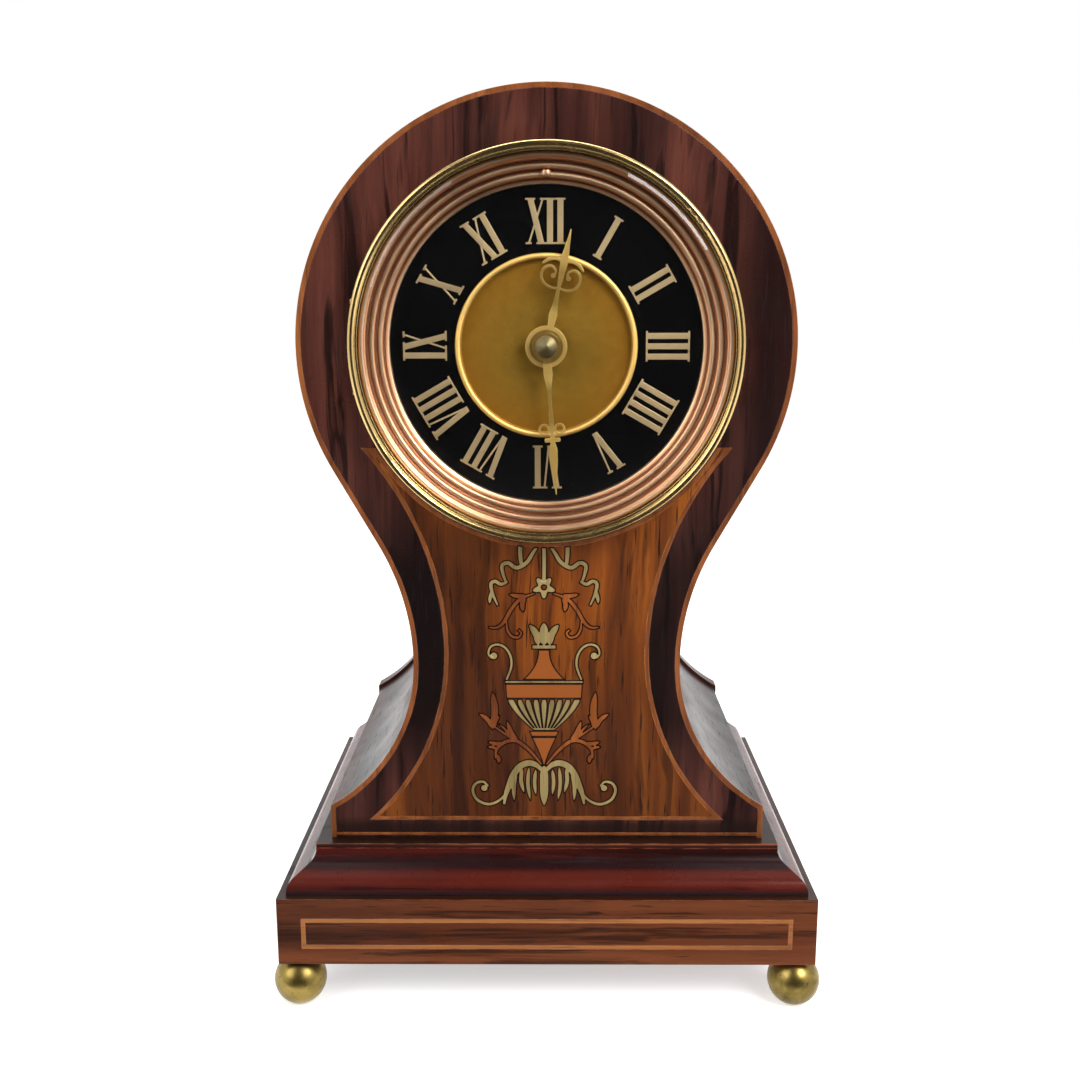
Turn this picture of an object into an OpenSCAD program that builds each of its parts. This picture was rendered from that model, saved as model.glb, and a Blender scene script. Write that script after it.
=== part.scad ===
// Balloon mantel clock: inlaid case on four ball feet, hinged bezel, sunk dial,
// gilt hands, drum movement with lever escapement, brass door at the back.
// The front faces -Y, the clock stands on z = 0, the dial arbor runs along Y.

/* [Base] */
// Depth of the base block from front to back
block_d = 142.6; // [138:0.2:152]
// Height of the base block
block_h = 22.2; // [18:0.2:30]
// Gap between the table and the underside of the block
foot_h = 16; // [15:0.1:20]
// Radius of a ball foot
ball_r = 8.3; // [8.1:0.1:9]
// Inset of a ball foot's centre from the sides of the block
foot_inset_x = 5.5; // [5:0.1:12]
// Inset of a ball foot's centre from the front and back of the block
foot_inset_y = 6.3; // [6:0.1:14]
// Radius of the stud on a ball foot
stud_r = 2; // [1.5:0.1:3]
// Length of the stud above the foot
stud_len = 10; // [6:0.5:14]
// Inset of the stringing from the block's sides
base_line_in = 7.6; // [5:0.1:15]
// Height of the stringing above the block's bottom edge
base_line_up = 5.3; // [4:0.1:7]
// Depth of the stringing below the block's top edge
base_line_down = 6.6; // [4:0.1:8]
// Width of the stringing on the base
base_line_w = 1.3; // [0.8:0.1:2.5]

/* [Moulding] */
// Ledge left on the block outside the moulding
ledge = 2.6; // [1:0.1:4]
// Height of the ogee moulding
ogee_h = 12; // [9:0.5:15]
// Radius of the round part of the ogee
ovolo_r = 5; // [4:0.1:5.6]
// Thickness of the step board under the case
step_t = 1.6; // [1.2:0.1:3]
// Overhang of the step board past the case
step_out = 4.4; // [3.4:0.1:5]

/* [Case] */
// Distance of the case front behind the block front
case_in = 15.5; // [13:0.5:18]
// Half width of the case at its foot
case_half = 69.5; // [66:0.1:71]
// Half width of the case at the waist
waist_half = 41.8; // [38:0.2:45]
// Height of the waist above the foot of the case
waist_up = 58.8; // [55:0.2:62]
// Length of the straight part between the head and the hollow curve
neck_len = 26.7; // [18:0.1:34]
// Radius of the hollow curve below the waist
lower_r = 55; // [50:1:64]
// Radius of the round head of the case
head_r = 74.8; // [72:0.2:78]
// Height of the dial centre above the foot of the case
head_up = 157; // [152:0.5:165]
// Thickness of the front board
front_t = 9; // [7:0.5:12]
// Thickness of the bent sides
side_t = 6; // [4:0.5:9]
// Thickness of the back board
back_t = 7; // [5:0.5:9]
// Amount by which the back board stands proud of the sides
back_out = 1.2; // [0.4:0.1:2]
// Thickness of the veneer and its inlay
veneer_t = 0.8; // [0.6:0.1:1.2]
// Radius of the opening in the back board
back_open_r = 47; // [44:0.5:50]

/* [Inlay] */
// Width of the banding along the edge of the front
edge_w = 1.5; // [1:0.1:2.5]
// Width of the boxwood lines on the waist
line_w = 1.2; // [0.8:0.1:1.8]
// Half width of the waist panel at its narrowest
panel_half = 31.4; // [28:0.2:34]
// Height of the panel's narrowest place above the foot of the case
panel_up = 62.3; // [56:0.5:68]
// Radius of the panel's side above its narrowest place
panel_upper_r = 98; // [90:1:110]
// Radius of the panel's side below its narrowest place
panel_lower_r = 76; // [70:1:90]
// Height of the panel's bottom line above the foot of the case
panel_low = 6.8; // [6:0.1:9]
// Radius of the line that follows the bezel
panel_arc_r = 60.6; // [59.6:0.1:63]
// Height of the thin line near the foot of the case
plinth_up = 1.4; // [1.2:0.1:3.4]
// Width of the thin line near the foot of the case
plinth_w = 0.9; // [0.4:0.1:1.2]
// Sideways place of the marquetry's middle
inlay_x = -0.8; // [-1.5:0.1:1]
// Height of the marquetry from its lowest leaf to the bezel
inlay_h = 86; // [70:1:88]
// Height of the lowest leaf above the foot of the case
inlay_low = 11; // [9:0.5:14]

/* [Bezel and dial] */
// Outer radius of the bezel
bezel_r = 58; // [57.2:0.1:59]
// Radius of the bezel's opening for the glass
bezel_in_r = 55.9; // [55.5:0.1:56.2]
// Distance of the bezel's face in front of the case
bezel_out = 10; // [9.5:0.1:12]
// Radius of the bead round the bezel
bead_r = 1.1; // [0.9:0.05:1.3]
// Thickness of the bezel glass
glass_t = 2.2; // [1.6:0.1:2.6]
// Width of the bevel on the glass
bevel_w = 2; // [1:0.1:4]
// Thickness of the fixed mounting ring
mount_t = 2; // [1.5:0.1:2.4]
// Outer radius of the mounting ring
mount_r = 57; // [56.4:0.1:57.2]
// Outer radius of the sight ring
sight_r = 55; // [54.4:0.1:55.2]
// Inner radius of the sight ring
sight_in_r = 46.7; // [45.6:0.1:47.4]
// Radius of the bead on the sight ring
sight_pin_r = 1.6; // [1:0.1:1.8]
// Outer radius of the dial plate
dial_r = 47.8; // [47.4:0.1:47.9]
// Thickness of the dial plate
dial_t = 1.2; // [1:0.1:1.6]
// Radius of the sunk centre of the dial
centre_r = 27.3; // [25:0.1:28]
// Depth of the dial face behind the case front
dial_back = 1.5; // [1:0.1:2.5]
// Inner radius of the numerals
numeral_in = 29.7; // [29.2:0.1:31]
// Height of the numerals
numeral_h = 13.1; // [11:0.1:14.2]
// Relief of the numerals
numeral_t = 0.12; // [0.08:0.01:0.2]
// Angle of the hour hand past twelve
hour_angle = 12.1; // [0:0.1:360]
// Angle of the minute hand past twelve
minute_angle = 176.1; // [0:0.1:360]
// Length of the minute hand
minute_len = 44; // [42:0.2:45]
// Length of the hour hand
hour_len = 34.6; // [31:0.2:36]
// Thickness of the hands
hand_t = 0.8; // [0.5:0.05:0.9]
// Largest opening angle of the bezel and of the back door
door_angle = 105; // [90:1:110]

/* [Movement] */
// Outer radius of the drum
drum_r = 49; // [48:0.1:49.4]
// Wall of the drum
drum_wall = 1; // [0.8:0.1:1.4]
// Depth of the drum behind the case front
drum_d = 62; // [60:0.5:66]
// Radius of the movement plates
plate_r = 42; // [41:0.1:43]
// Thickness of the movement plates
plate_t = 1.6; // [1.4:0.1:2]
// Distance of the front plate behind the case front
plate_back = 11; // [10.6:0.1:11.4]
// Space between the movement plates
plate_gap = 24; // [24:0.1:26]
// Running clearance of a pivot or an arbor in its hole
run_gap = 0.05; // [0.03:0.01:0.08]
// Outer radius of the back door
door_r = 52; // [50:0.5:54]
// Thickness of the back door
door_t = 1.4; // [1:0.1:2]
// Distance that the knob of the back door stands out from its face
knob_len = 3.7; // [3:0.1:5]
// Gap between faces that move past each other
face_gap = 0.3; // [0.2:0.05:0.4]
// Radius of the hinge pins
pin_r = 0.55; // [0.5:0.05:0.6]
// Radius of the hinge knuckles
knuckle_r = 1.2; // [1.1:0.05:1.3]
// Length of the hinges
hinge_len = 28; // [22:1:34]

/* [Wheels] */
// Thickness of a wheel
wheel_t = 1; // [0.6:0.05:1.1]
// Module of the barrel's teeth
barrel_m = 0.48; // [0.46:0.01:0.5]
// Module of the intermediate wheel
inter_m = 0.5; // [0.48:0.01:0.52]
// Module of the centre wheel
centre_m = 0.4; // [0.38:0.01:0.42]
// Module of the third wheel
third_m = 0.36; // [0.34:0.01:0.38]
// Module of the fourth wheel
fourth_m = 0.28; // [0.27:0.01:0.29]
// Module of the cannon pinion and the minute wheel
motion_m = 0.6; // [0.58:0.01:0.62]
// Radius of the balance wheel
balance_r = 7.5; // [6.5:0.1:7.6]
// Radius of the ratchet wheel
ratchet_r = 8; // [7:0.1:8.4]
// Pressure angle of the teeth
press_angle = 25; // [24:1:26]
// Play between meshed teeth at the pitch circle
backlash = 0.06; // [0.05:0.01:0.08]

/* [Hidden] */
$fn = 96;

// Small sizes that several pieces share
tiny = 0.01;
seat_gap = 0.1;
far = 100;
block_w = 2 * (case_half + case_in);
door_ring_t = 1.6;
door_out = door_ring_t + face_gap + door_t + knob_len;
foot_over = ball_r - foot_inset_y;
block_front = -(block_d + door_out - foot_over) / 2;
block_back = block_front + block_d;
block_z = foot_h;
ogee_z = block_z + block_h;
step_z = ogee_z + ogee_h;
case_z = step_z + step_t;
case_front = block_front + case_in;
case_d = block_d - case_in;
dial_z = case_z + head_up;
waist_z = case_z + waist_up;

// Tangent line between the head and the hollow curve above the waist
neck_up = head_up - waist_up;
upper_r = (waist_half * waist_half + neck_up * neck_up - head_r * head_r - neck_len * neck_len)
  / (2 * (head_r - waist_half));
upper_c = [waist_half + upper_r, waist_up];
neck_v = upper_c - [0, head_up];
neck_a = atan2(neck_v[1], neck_v[0]) + acos((head_r + upper_r) / norm(neck_v));
neck_n = [cos(neck_a), sin(neck_a)];

// Points of an arc about c from angle a0 to a1
function arc(c, r, a0, a1, n) = [for (i = [0:n])
  c + r * [cos(a0 + (a1 - a0) * i / n), sin(a0 + (a1 - a0) * i / n)]];

// Outline of the case in the plane of its front, grown by g, foot at height 0
function half_outline(g) = concat(
  arc([0, head_up], head_r + g, 90, neck_a, 60),
  arc(upper_c, upper_r - g, neck_a + 180, 180, 24),
  arc([waist_half + lower_r, waist_up], lower_r - g, 180, 180 + foot_a(g), 36)
);
function foot_a(g) = acos((waist_half + lower_r - case_half - g) / (lower_r - g));
module case_shape(g = 0, drop = 0) {
  h = half_outline(g);
  polygon(concat(h, [[case_half + g, -drop], [-case_half - g, -drop]],
    [for (i = [len(h) - 1:-1:1]) [-h[i][0], h[i][1]]]));
}

// Puts a shape drawn in x and z, with its thickness behind the case front
module on_front(depth, t) {
  translate([0, case_front + depth + t, case_z]) rotate([90, 0, 0]) linear_extrude(t) children();
}

// Local frame of the dial: x right, y up, z forwards from the case front
module dial_frame() {
  translate([0, case_front, dial_z]) rotate([90, 0, 0]) children();
}

// Puts a flat shape between two depths behind the case front, about the dial
module slab(depth, t) {
  dial_frame() translate([0, 0, -depth - t]) linear_extrude(t) children();
}

// Round piece about the dial's axis; its profile is drawn as [radius, forwards]
module turned() {
  dial_frame() rotate_extrude($fn = 180) children();
}

// Round rod between two depths at a place on the movement
module rod(p, from, to, r) {
  dial_frame() translate([p[0], p[1], -to]) cylinder(r = r, h = to - from, $fn = 48);
}

// Foot, block and moulding
module base_block() color([0.36, 0.19, 0.12]) {
  difference() {
    translate([-block_w / 2, block_front, block_z]) cube([block_w, block_d, block_h]);
    line_frame(0);
    foot_places() translate([0, 0, foot_h - tiny])
      cylinder(r = stud_r + seat_gap, h = stud_len + 5 * seat_gap, $fn = 32);
  }
}
module line_frame(extra) {
  w = block_w - 2 * base_line_in;
  h = block_h - base_line_up - base_line_down;
  translate([0, block_front + veneer_t, block_z + base_line_up + h / 2]) rotate([90, 0, 0])
    linear_extrude(veneer_t + extra) difference() {
      square([w, h], center = true);
      square([w - 2 * base_line_w, h - 2 * base_line_w], center = true);
    }
}
module base_stringing() color([0.72, 0.45, 0.24]) line_frame(0);

// Profile of the ogee: round below, straight, hollow above
hollow_r = 4.5;
quirk = 0.8;
ogee_top_in = case_in - step_out;
round_c = [ledge + ovolo_r, quirk];
hollow_c = [ogee_top_in - hollow_r, ogee_h - 0.4];
ogee_v = hollow_c - round_c;
ogee_s = atan2(ogee_v[1], ogee_v[0]) - asin((ovolo_r + hollow_r) / norm(ogee_v));
module ogee_profile(reach) polygon(concat(
  [[ledge, 0]],
  arc(round_c, ovolo_r, 180, 90 + ogee_s, 12),
  arc(hollow_c, hollow_r, ogee_s - 90, 0, 12),
  [[ogee_top_in, ogee_h], [reach, ogee_h], [reach, 0]]
));
module ogee_side(s) {
  translate([s * block_w / 2, block_back, ogee_z]) rotate([90, 0, 0])
    linear_extrude(block_d) mirror([s > 0 ? 1 : 0, 0]) ogee_profile(block_w);
}
moulding_w = 26;
rail_t = 12;
module base_moulding() color([0.3, 0.1, 0.07]) {
  difference() {
    intersection() {
      ogee_side(-1);
      ogee_side(1);
      translate([-block_w / 2, block_front, ogee_z]) rotate([90, 0, 90])
        linear_extrude(block_w) ogee_profile(block_d);
    }
    translate([-block_w / 2 + moulding_w, block_front + moulding_w, ogee_z - 1])
      cube([block_w - 2 * moulding_w, block_d - moulding_w - rail_t, ogee_h + 2]);
  }
}
module step_board() color([0.45, 0.2, 0.12]) {
  x = block_w / 2 - ogee_top_in;
  translate([-x, block_front + ogee_top_in, step_z]) cube([2 * x, block_d - ogee_top_in, step_t]);
}
module foot_places() {
  for (x = [-1, 1], y = [block_front + foot_inset_y, block_back - foot_inset_y])
    translate([x * (block_w / 2 - foot_inset_x), y, 0]) children();
}
ball_z = foot_h - ball_r + 0.2;
collar_r = 3.6;
module ball_feet() color([0.78, 0.6, 0.3]) foot_places() {
  intersection() {
    translate([0, 0, ball_z]) sphere(r = ball_r, $fn = 64);
    cylinder(r = ball_r + 1, h = foot_h, $fn = 32);
  }
  translate([0, 0, foot_h - 1.4]) cylinder(r = collar_r, h = 1.4, $fn = 48);
  translate([0, 0, foot_h - 1]) cylinder(r = stud_r, h = stud_len + 1, $fn = 32);
}

// Case
board_depth = veneer_t;
front_back = veneer_t + front_t;
drum_hole_r = drum_r + 2 * seat_gap;
bracket_screw_r = drum_r + 8;
module front_board() color([0.3, 0.14, 0.1]) difference() {
  on_front(board_depth, front_t) difference() {
    case_shape();
    translate([0, head_up]) circle(r = drum_hole_r, $fn = 180);
  }
  for (s = [-1, 1]) rod([s * bracket_screw_r, 0], front_back - screw_len, front_back + 1, screw_r);
}
module case_sides() color([0.34, 0.16, 0.11])
  on_front(front_back, case_d - front_back - back_t) difference() {
    case_shape();
    case_shape(-side_t, 5);
  }
module back_board() color([0.34, 0.16, 0.11])
  on_front(case_d - back_t, back_t) difference() {
    intersection() {
      case_shape(back_out);
      translate([-far, 0]) square([2 * far, 4 * far]);
    }
    translate([0, head_up]) circle(r = back_open_r, $fn = 180);
  }

// Inlay on the front
panel_far = 60;
module panel_shape(g = 0) {
  difference() {
    translate([-panel_far, panel_low - g]) square([2 * panel_far, head_up - panel_arc_r * 0.5 - panel_low + g]);
    translate([0, head_up]) circle(r = panel_arc_r - g, $fn = 180);
    for (s = [-1, 1]) {
      intersection() {
        translate([s * (panel_half + panel_upper_r), panel_up]) circle(r = panel_upper_r - g, $fn = 180);
        translate([s * far - far, panel_up]) square([2 * far, far]);
      }
      intersection() {
        translate([s * (panel_half + panel_lower_r), panel_up]) circle(r = panel_lower_r - g, $fn = 180);
        translate([s * far - far, panel_up - far]) square([2 * far, far]);
      }
    }
  }
}
module banding_shape() difference() {
  case_shape();
  case_shape(-edge_w, 1);
}
module plinth_line_shape() intersection() {
  case_shape(-edge_w);
  translate([-far, plinth_up - plinth_w / 2]) square([2 * far, plinth_w]);
}
module front_veneer() color([0.28, 0.13, 0.1])
  on_front(0, veneer_t) difference() {
    case_shape(-edge_w);
    panel_shape(line_w / 2);
    plinth_line_shape();
    translate([0, head_up]) circle(r = drum_hole_r, $fn = 180);
  }
module edge_banding() color([0.66, 0.4, 0.2]) on_front(0, veneer_t) banding_shape();
module waist_panel() color([0.4, 0.2, 0.1])
  on_front(0, veneer_t) difference() {
    panel_shape(-line_w / 2);
    ribbon_shapes();
    branch_shapes();
    urn_shapes();
    acanthus_shapes();
  }
module waist_stringing() color([0.74, 0.46, 0.24]) on_front(0, veneer_t) {
  difference() {
    panel_shape(line_w / 2);
    panel_shape(-line_w / 2);
  }
  plinth_line_shape();
}

// Strips of the marquetry follow smooth curves through a few points; heights
// are above the foot of the case and the middle of the pattern is at x = 0
function curve_at(a, b, c, d, t) =
  0.5 * (2 * b + (c - a) * t + (2 * a - 5 * b + 4 * c - d) * t * t + (3 * b - a - 3 * c + d) * t * t * t);
function smooth(p, n = 5) = [
  for (i = [0:len(p) - 2], k = [0:n - 1])
    curve_at(p[max(i - 1, 0)], p[i], p[i + 1], p[min(i + 2, len(p) - 1)], k / n),
  p[len(p) - 1]
];
function side_of(p, i) =
  let (v = p[min(i + 1, len(p) - 1)] - p[max(i - 1, 0)]) [-v[1], v[0]] / norm(v);
// Width along a strip: even in the middle, and narrowed to its share at each end
function strip_w(u, w, a, b) = w * (u < 0.3 ? a + (1 - a) * sin(300 * u) :
  u > 0.6 ? b + (1 - b) * sin(90 + 225 * (u - 0.6)) : 1);
module strip(pts, w, a = 0.3, b = 0.3, n = 5) {
  p = smooth(pts, n);
  m = len(p) - 1;
  polygon([
    for (i = [0:m]) p[i] + side_of(p, i) * strip_w(i / m, w, a, b) / 2,
    for (i = [m:-1:0]) p[i] - side_of(p, i) * strip_w(i / m, w, a, b) / 2
  ]);
}
module leaf(from, to, w, bend = 0) {
  v = to - from;
  strip([from, from + 0.5 * v + bend * [-v[1], v[0]], to], w, 0.15, 0.1, 6);
}
module dot(p, r) translate(p) circle(r = r, $fn = 24);
module pair() for (s = [0, 1]) mirror([s, 0]) children();
// The pattern is drawn at its own height above the foot of the case, then set to the height wanted
pattern_low = 11;
pattern_h = 86;
module inlay() translate([inlay_x, inlay_low]) scale(inlay_h / pattern_h) translate([0, -pattern_low])
  children();

// Cream ribbons at the top, with the flower that hangs between them
flower_c = [0, 83.3];
module ribbon_shapes() inlay() {
  pair() {
    strip([[7.2, 98], [7.3, 94], [6.9, 89.6]], 1.6, 0.9, 0.6);
    strip([[1.7, 96.8], [3.5, 94], [5.3, 91.2], [8.4, 89.5], [11, 91], [12.9, 90.2], [12.6, 87.4],
      [11.5, 84.4]],
      1.6, 0.6, 0.6);
    strip([[11.1, 85.2], [13.2, 84.3], [15.1, 85.2], [16.4, 84.3], [15.9, 81.2], [14.3, 77.4]], 1.5, 0.6, 0.5);
    leaf([15.9, 82.6], [16.9, 77.9], 1.4, 0.05);
  }
  strip([[0, 98], [0.1, 92], flower_c + [0, 1.8]], 1.5, 0.9, 1);
  difference() {
    polygon([for (a = [0:9:351]) flower_c + (2.9 + 0.85 * cos(5 * a + 90)) * [cos(a), sin(a)]]);
    dot(flower_c, 0.8);
  }
}

// Orange branches: one pair under the flower, and one that rises from the foot of the urn
module branch_shapes() inlay() pair() {
  strip([[2.8, 81.4], [7.2, 79.6], [10.2, 76.2], [12.4, 72.3], [14.6, 70.4], [17.3, 70.5]], 1.4, 0.5, 0.4);
  strip([[11.6, 73.4], [11.5, 70], [10.2, 67.7], [8.1, 67.2], [7.1, 68.6], [8.1, 69.7]], 1.1, 0.4, 0.8);
  leaf([5.4, 80.6], [10.9, 81.1], 1.6, -0.06);
  leaf([5.9, 80.2], [6.4, 75.4], 1.8, 0.12);
  strip([[0.7, 25], [4.5, 29.7], [8.2, 32.8], [11, 33.1], [13.5, 32], [15.2, 29.9], [15.4, 27]], 1.5, 0.5, 0.6);
  leaf([13, 32.4], [17.8, 32.8], 1.6, -0.1);
  leaf([14.9, 30.2], [18, 31], 1.3, 0.1);
  leaf([15.3, 28.6], [14.4, 25.4], 1.6, -0.1);
  leaf([8.2, 32.4], [11.8, 39.8], 1.8, -0.06);
  strip([[8.4, 32.6], [12.4, 35.4], [16.4, 38.3]], 1, 0.5, 0.8);
  leaf([11, 34.4], [14.4, 38.8], 1, 0.08);
  leaf([16.4, 36.8], [16.3, 49.4], 2.4, 0.06);
  leaf([16.4, 37.2], [20.6, 42.2], 1.7, 0.12);
  leaf([15.8, 37.3], [14.1, 41.6], 1.5, -0.1);
}

// Urn: finial leaves, rail, neck, band, gadrooned bowl, foot and two scrolled handles
band_top = 51.9;
band_half = 12.1;
bowl_top = 46.9;
bowl_h = 10.3;
bowl_half = 11.5;
flutes = 9;
module both_sides(p) polygon(concat(p, [for (i = [len(p) - 1:-1:0]) [-p[i][0], p[i][1]]]));
function bowl_w(t) = bowl_half * (1 - 0.72 * pow(t, 1.45));
module urn_shapes() inlay() {
  leaf([0, 64.6], [0, 72], 3);
  translate([-3.8, 63.4]) square([7.6, 1.4]);
  both_sides([for (t = [0:0.1:1]) [1.7 + 4.7 * pow(1 - t, 2.2), 53.5 + 9.6 * t]]);
  translate([-band_half - 0.2, band_top + 0.3]) square([2 * band_half + 0.4, 0.9]);
  both_sides([[band_half - 0.3, bowl_top + 0.4], [band_half, band_top]]);
  difference() {
    both_sides([for (t = [0:0.1:1]) [bowl_w(t), bowl_top - bowl_h * t]]);
    for (i = [1:flutes - 1]) flute_gap(2 * i / flutes - 1);
  }
  both_sides([[4.6, 36.3], [3.9, 34.6]]);
  both_sides([for (t = [0:0.2:1]) [0.2 + 3.6 * pow(1 - t, 1.25), 34.2 - 9.4 * t]]);
  pair() {
    leaf([1.7, 64.6], [4.6, 71.4], 2.4, 0.1);
    strip([[11.9, 53.2], [10.9, 55.6], [10.2, 58.4], [10.6, 61.4], [12.2, 63.9], [14.5, 64.9], [16.7, 64.1],
      [17.4, 61.9], [16.3, 60.3]], 1.1, 0.8, 0.8);
    dot([15.7, 61.2], 1.25);
  }
}
module flute_gap(s) polygon([
  for (t = [0:0.1:1]) [s * bowl_w(0.92 * t) + flute_w(t) / 2, bowl_top + tiny - (bowl_h - 0.9) * t],
  for (t = [1:-0.1:0]) [s * bowl_w(0.92 * t) - flute_w(t) / 2, bowl_top + tiny - (bowl_h - 0.9) * t]
]);
function flute_w(t) = t < 0.15 ? 1.3 - 5.6 * t : 0.5 - 0.28 * t;

// Acanthus under the urn: two arches that end in scrolls, with hanging leaves
module acanthus_shapes() inlay() {
  pair() {
    strip([[0.3, 22.6], [2.3, 24.8], [5, 25.6], [7.8, 24.4], [9.8, 21.6], [11.1, 18.3], [12.3, 14.9],
      [12.9, 11.4]], 2.4, 0.5, 0.4);
    strip([[10.6, 18.6], [13.6, 13.6], [17.6, 11.6], [21.4, 13], [22.9, 16.2], [21.8, 18.7], [19.4, 19.2],
      [17.9, 17.5]], 1.3, 0.5, 0.8);
    dot([19.2, 17.1], 1.2);
    leaf([8.8, 22.8], [9.6, 12.6], 1.6, 0.05);
    leaf([7, 24], [6.4, 15.4], 1.6, 0.08);
    leaf([4.8, 24.4], [4.4, 12.8], 1.5, 0.05);
    leaf([2.6, 23.6], [2.6, 14.6], 1.5, 0.05);
  }
  leaf([0, 25], [0, 11], 3);
}
module marquetry_ribbons() color([0.72, 0.66, 0.42]) on_front(0, veneer_t) intersection() {
  ribbon_shapes();
  panel_shape(-line_w / 2);
}
module marquetry_branches() color([0.72, 0.4, 0.16]) on_front(0, veneer_t) difference() {
  intersection() {
    branch_shapes();
    panel_shape(-line_w / 2);
  }
  ribbon_shapes();
  urn_shapes();
}
module marquetry_urn() color([0.74, 0.62, 0.36]) on_front(0, veneer_t) urn_shapes();
module marquetry_acanthus() color([0.72, 0.66, 0.42]) on_front(0, veneer_t) difference() {
  acanthus_shapes();
  branch_shapes();
  urn_shapes();
}

// Fixed ring, sight ring and dial
screw_r = 1.1;
screw_len = 6;
head_r_small = 1.8;
head_t = 0.8;
mount_step_r = 51.2;
mount_ledge_t = 0.6;
module mounting_ring() color([0.8, 0.64, 0.36]) {
  difference() {
    turned() union() {
      translate([drum_r - drum_wall, 0]) square([mount_r - drum_r + drum_wall, mount_ledge_t]);
      translate([mount_step_r, 0]) square([mount_r - mount_step_r, mount_t]);
    }
    hinge_pocket(-hinge_len / 2 - pocket_gap, hinge_len + 2 * pocket_gap, -1);
  }
  for (s = [-1, 1]) fixed_knuckle(s);
}
// The bezel's hinge stands under its left edge, in a pocket of the two rings
knuckle_len = (hinge_len - 2 * face_gap) / 3;
hinge_x = -bezel_r + knuckle_r;
hinge_h = knuckle_r + 0.5;
pocket_gap = 0.8;
module hinge_pocket(from, len, low) dial_frame() translate([hinge_x - 3, from, low])
  cube([3 + knuckle_r + face_gap, len, hinge_h + knuckle_r + face_gap - low]);
module fixed_knuckle(s) dial_frame() difference() {
  y = s * (knuckle_len + face_gap) - knuckle_len / 2;
  union() {
    translate([hinge_x, y, hinge_h]) rotate([-90, 0, 0]) cylinder(r = knuckle_r, h = knuckle_len, $fn = 48);
    translate([hinge_x, y, 0.1]) cube([knuckle_r + 1.3, knuckle_len, hinge_h - 0.1]);
  }
  hinge_bore(hinge_x, hinge_h, pin_r);
}
pin_over = 0.4;
module hinge_bore(x, h, r) translate([x, -hinge_len, h]) rotate([-90, 0, 0])
  cylinder(r = r, h = 2 * hinge_len, $fn = 48);
module bezel_hinge_pin() color([0.75, 0.6, 0.35]) dial_frame()
  translate([hinge_x, -hinge_len / 2 - pin_over, hinge_h]) rotate([-90, 0, 0])
    cylinder(r = pin_r, h = hinge_len + 2 * pin_over, $fn = 48);

// Sight ring: a sloping ring with three reeds and an inner bead
reed_r = 1.05;
lip_out_r = drum_r - drum_wall - seat_gap;
module sight_ring() color([0.72, 0.46, 0.34]) {
  turned() polygon(concat(
    [[sight_in_r, -dial_back], [sight_in_r, mount_ledge_t]],
    arc(reed_at(2), reed_r, 180 + sight_a, sight_a, 14),
    arc(reed_at(1), reed_r, 180 + sight_a, sight_a, 14),
    arc(reed_at(0), reed_r, 180 + sight_a, 0, 14),
    [[sight_r, mount_t], [mount_step_r, mount_t], [mount_step_r, mount_ledge_t], [lip_out_r, mount_ledge_t],
      [lip_out_r, -dial_back]]
  ));
  dial_frame() translate([0, sight_pin_at, 3.4]) sphere(r = sight_pin_r, $fn = 32);
}
sight_pin_at = 49.4;
// Middle of each reed, from the outside in, as [radius, forwards]
sight_top = mount_t + 2.6;
sight_slope = (sight_top - mount_ledge_t) / (sight_r - sight_in_r);
sight_a = atan(sight_slope);
function reed_at(k) = [sight_r - reed_r - 2.45 * k, sight_top - (reed_r + 2.45 * k) * sight_slope];

module dial_plate() color([0.05, 0.05, 0.06]) {
  turned() translate([centre_r, -dial_back - dial_t]) square([dial_r - centre_r, dial_t]);
  for (a = [30:120:270]) rod(polar([0, 0], dial_foot_at, a), dial_back + dial_t, plate_back + plate_t,
    foot_pin_r);
}
foot_pin_r = 1;
rim_r = 0.85;
sunk = 1.4;
sunk_t = 0.8;
module dial_centre() color([0.72, 0.56, 0.28]) turned() {
  translate([hour_pipe_r + 0.5, -dial_back - sunk - sunk_t]) square([centre_r - hour_pipe_r - 0.5, sunk_t]);
  translate([centre_r - 2 * rim_r, -dial_back - sunk]) square([2 * rim_r, sunk]);
  translate([centre_r - rim_r, -dial_back]) circle(r = rim_r, $fn = 48);
}

// Roman numerals, each drawn upright with its foot at height 0, then set round the dial
bar_w = 1.75;
hair_w = 0.55;
serif_t = 0.55;
serif_out = 0.6;
bar_lean = 1.65;
hair_lean = 2.1;
module stroke(x0, x1, w) polygon([[x0 - w / 2, 0], [x0 + w / 2, 0], [x1 + w / 2, numeral_h],
  [x1 - w / 2, numeral_h]]);
module serif(x, w, top) translate([x - w / 2 - serif_out, top ? numeral_h - serif_t : 0])
  square([w + 2 * serif_out, serif_t]);
module glyph(c) {
  if (c == "I") {
    stroke(0, 0, bar_w);
    serif(0, bar_w, true);
    serif(0, bar_w, false);
  }
  if (c == "V") {
    stroke(bar_lean / 4, -bar_lean, bar_w);
    stroke(bar_lean / 2, hair_lean, hair_w);
    serif(-bar_lean, bar_w, true);
    serif(hair_lean, hair_w, true);
  }
  if (c == "X") {
    stroke(bar_lean, -bar_lean, bar_w);
    stroke(-hair_lean, hair_lean, hair_w);
    serif(-bar_lean, bar_w, true);
    serif(bar_lean, bar_w, false);
    serif(hair_lean, hair_w, true);
    serif(-hair_lean, hair_w, false);
  }
}
function glyph_w(c) = c == "I" ? bar_w + 1.3 : bar_w + 3.5;
function run_w(s, n) = n <= 0 ? 0 : glyph_w(s[n - 1]) + run_w(s, n - 1);
module numeral(s) for (i = [0:len(s) - 1])
  translate([run_w(s, i) + glyph_w(s[i]) / 2 - run_w(s, len(s)) / 2, 0]) glyph(s[i]);
hour_marks = ["I", "II", "III", "IIII", "V", "VI", "VII", "VIII", "IX", "X", "XI", "XII"];
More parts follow.
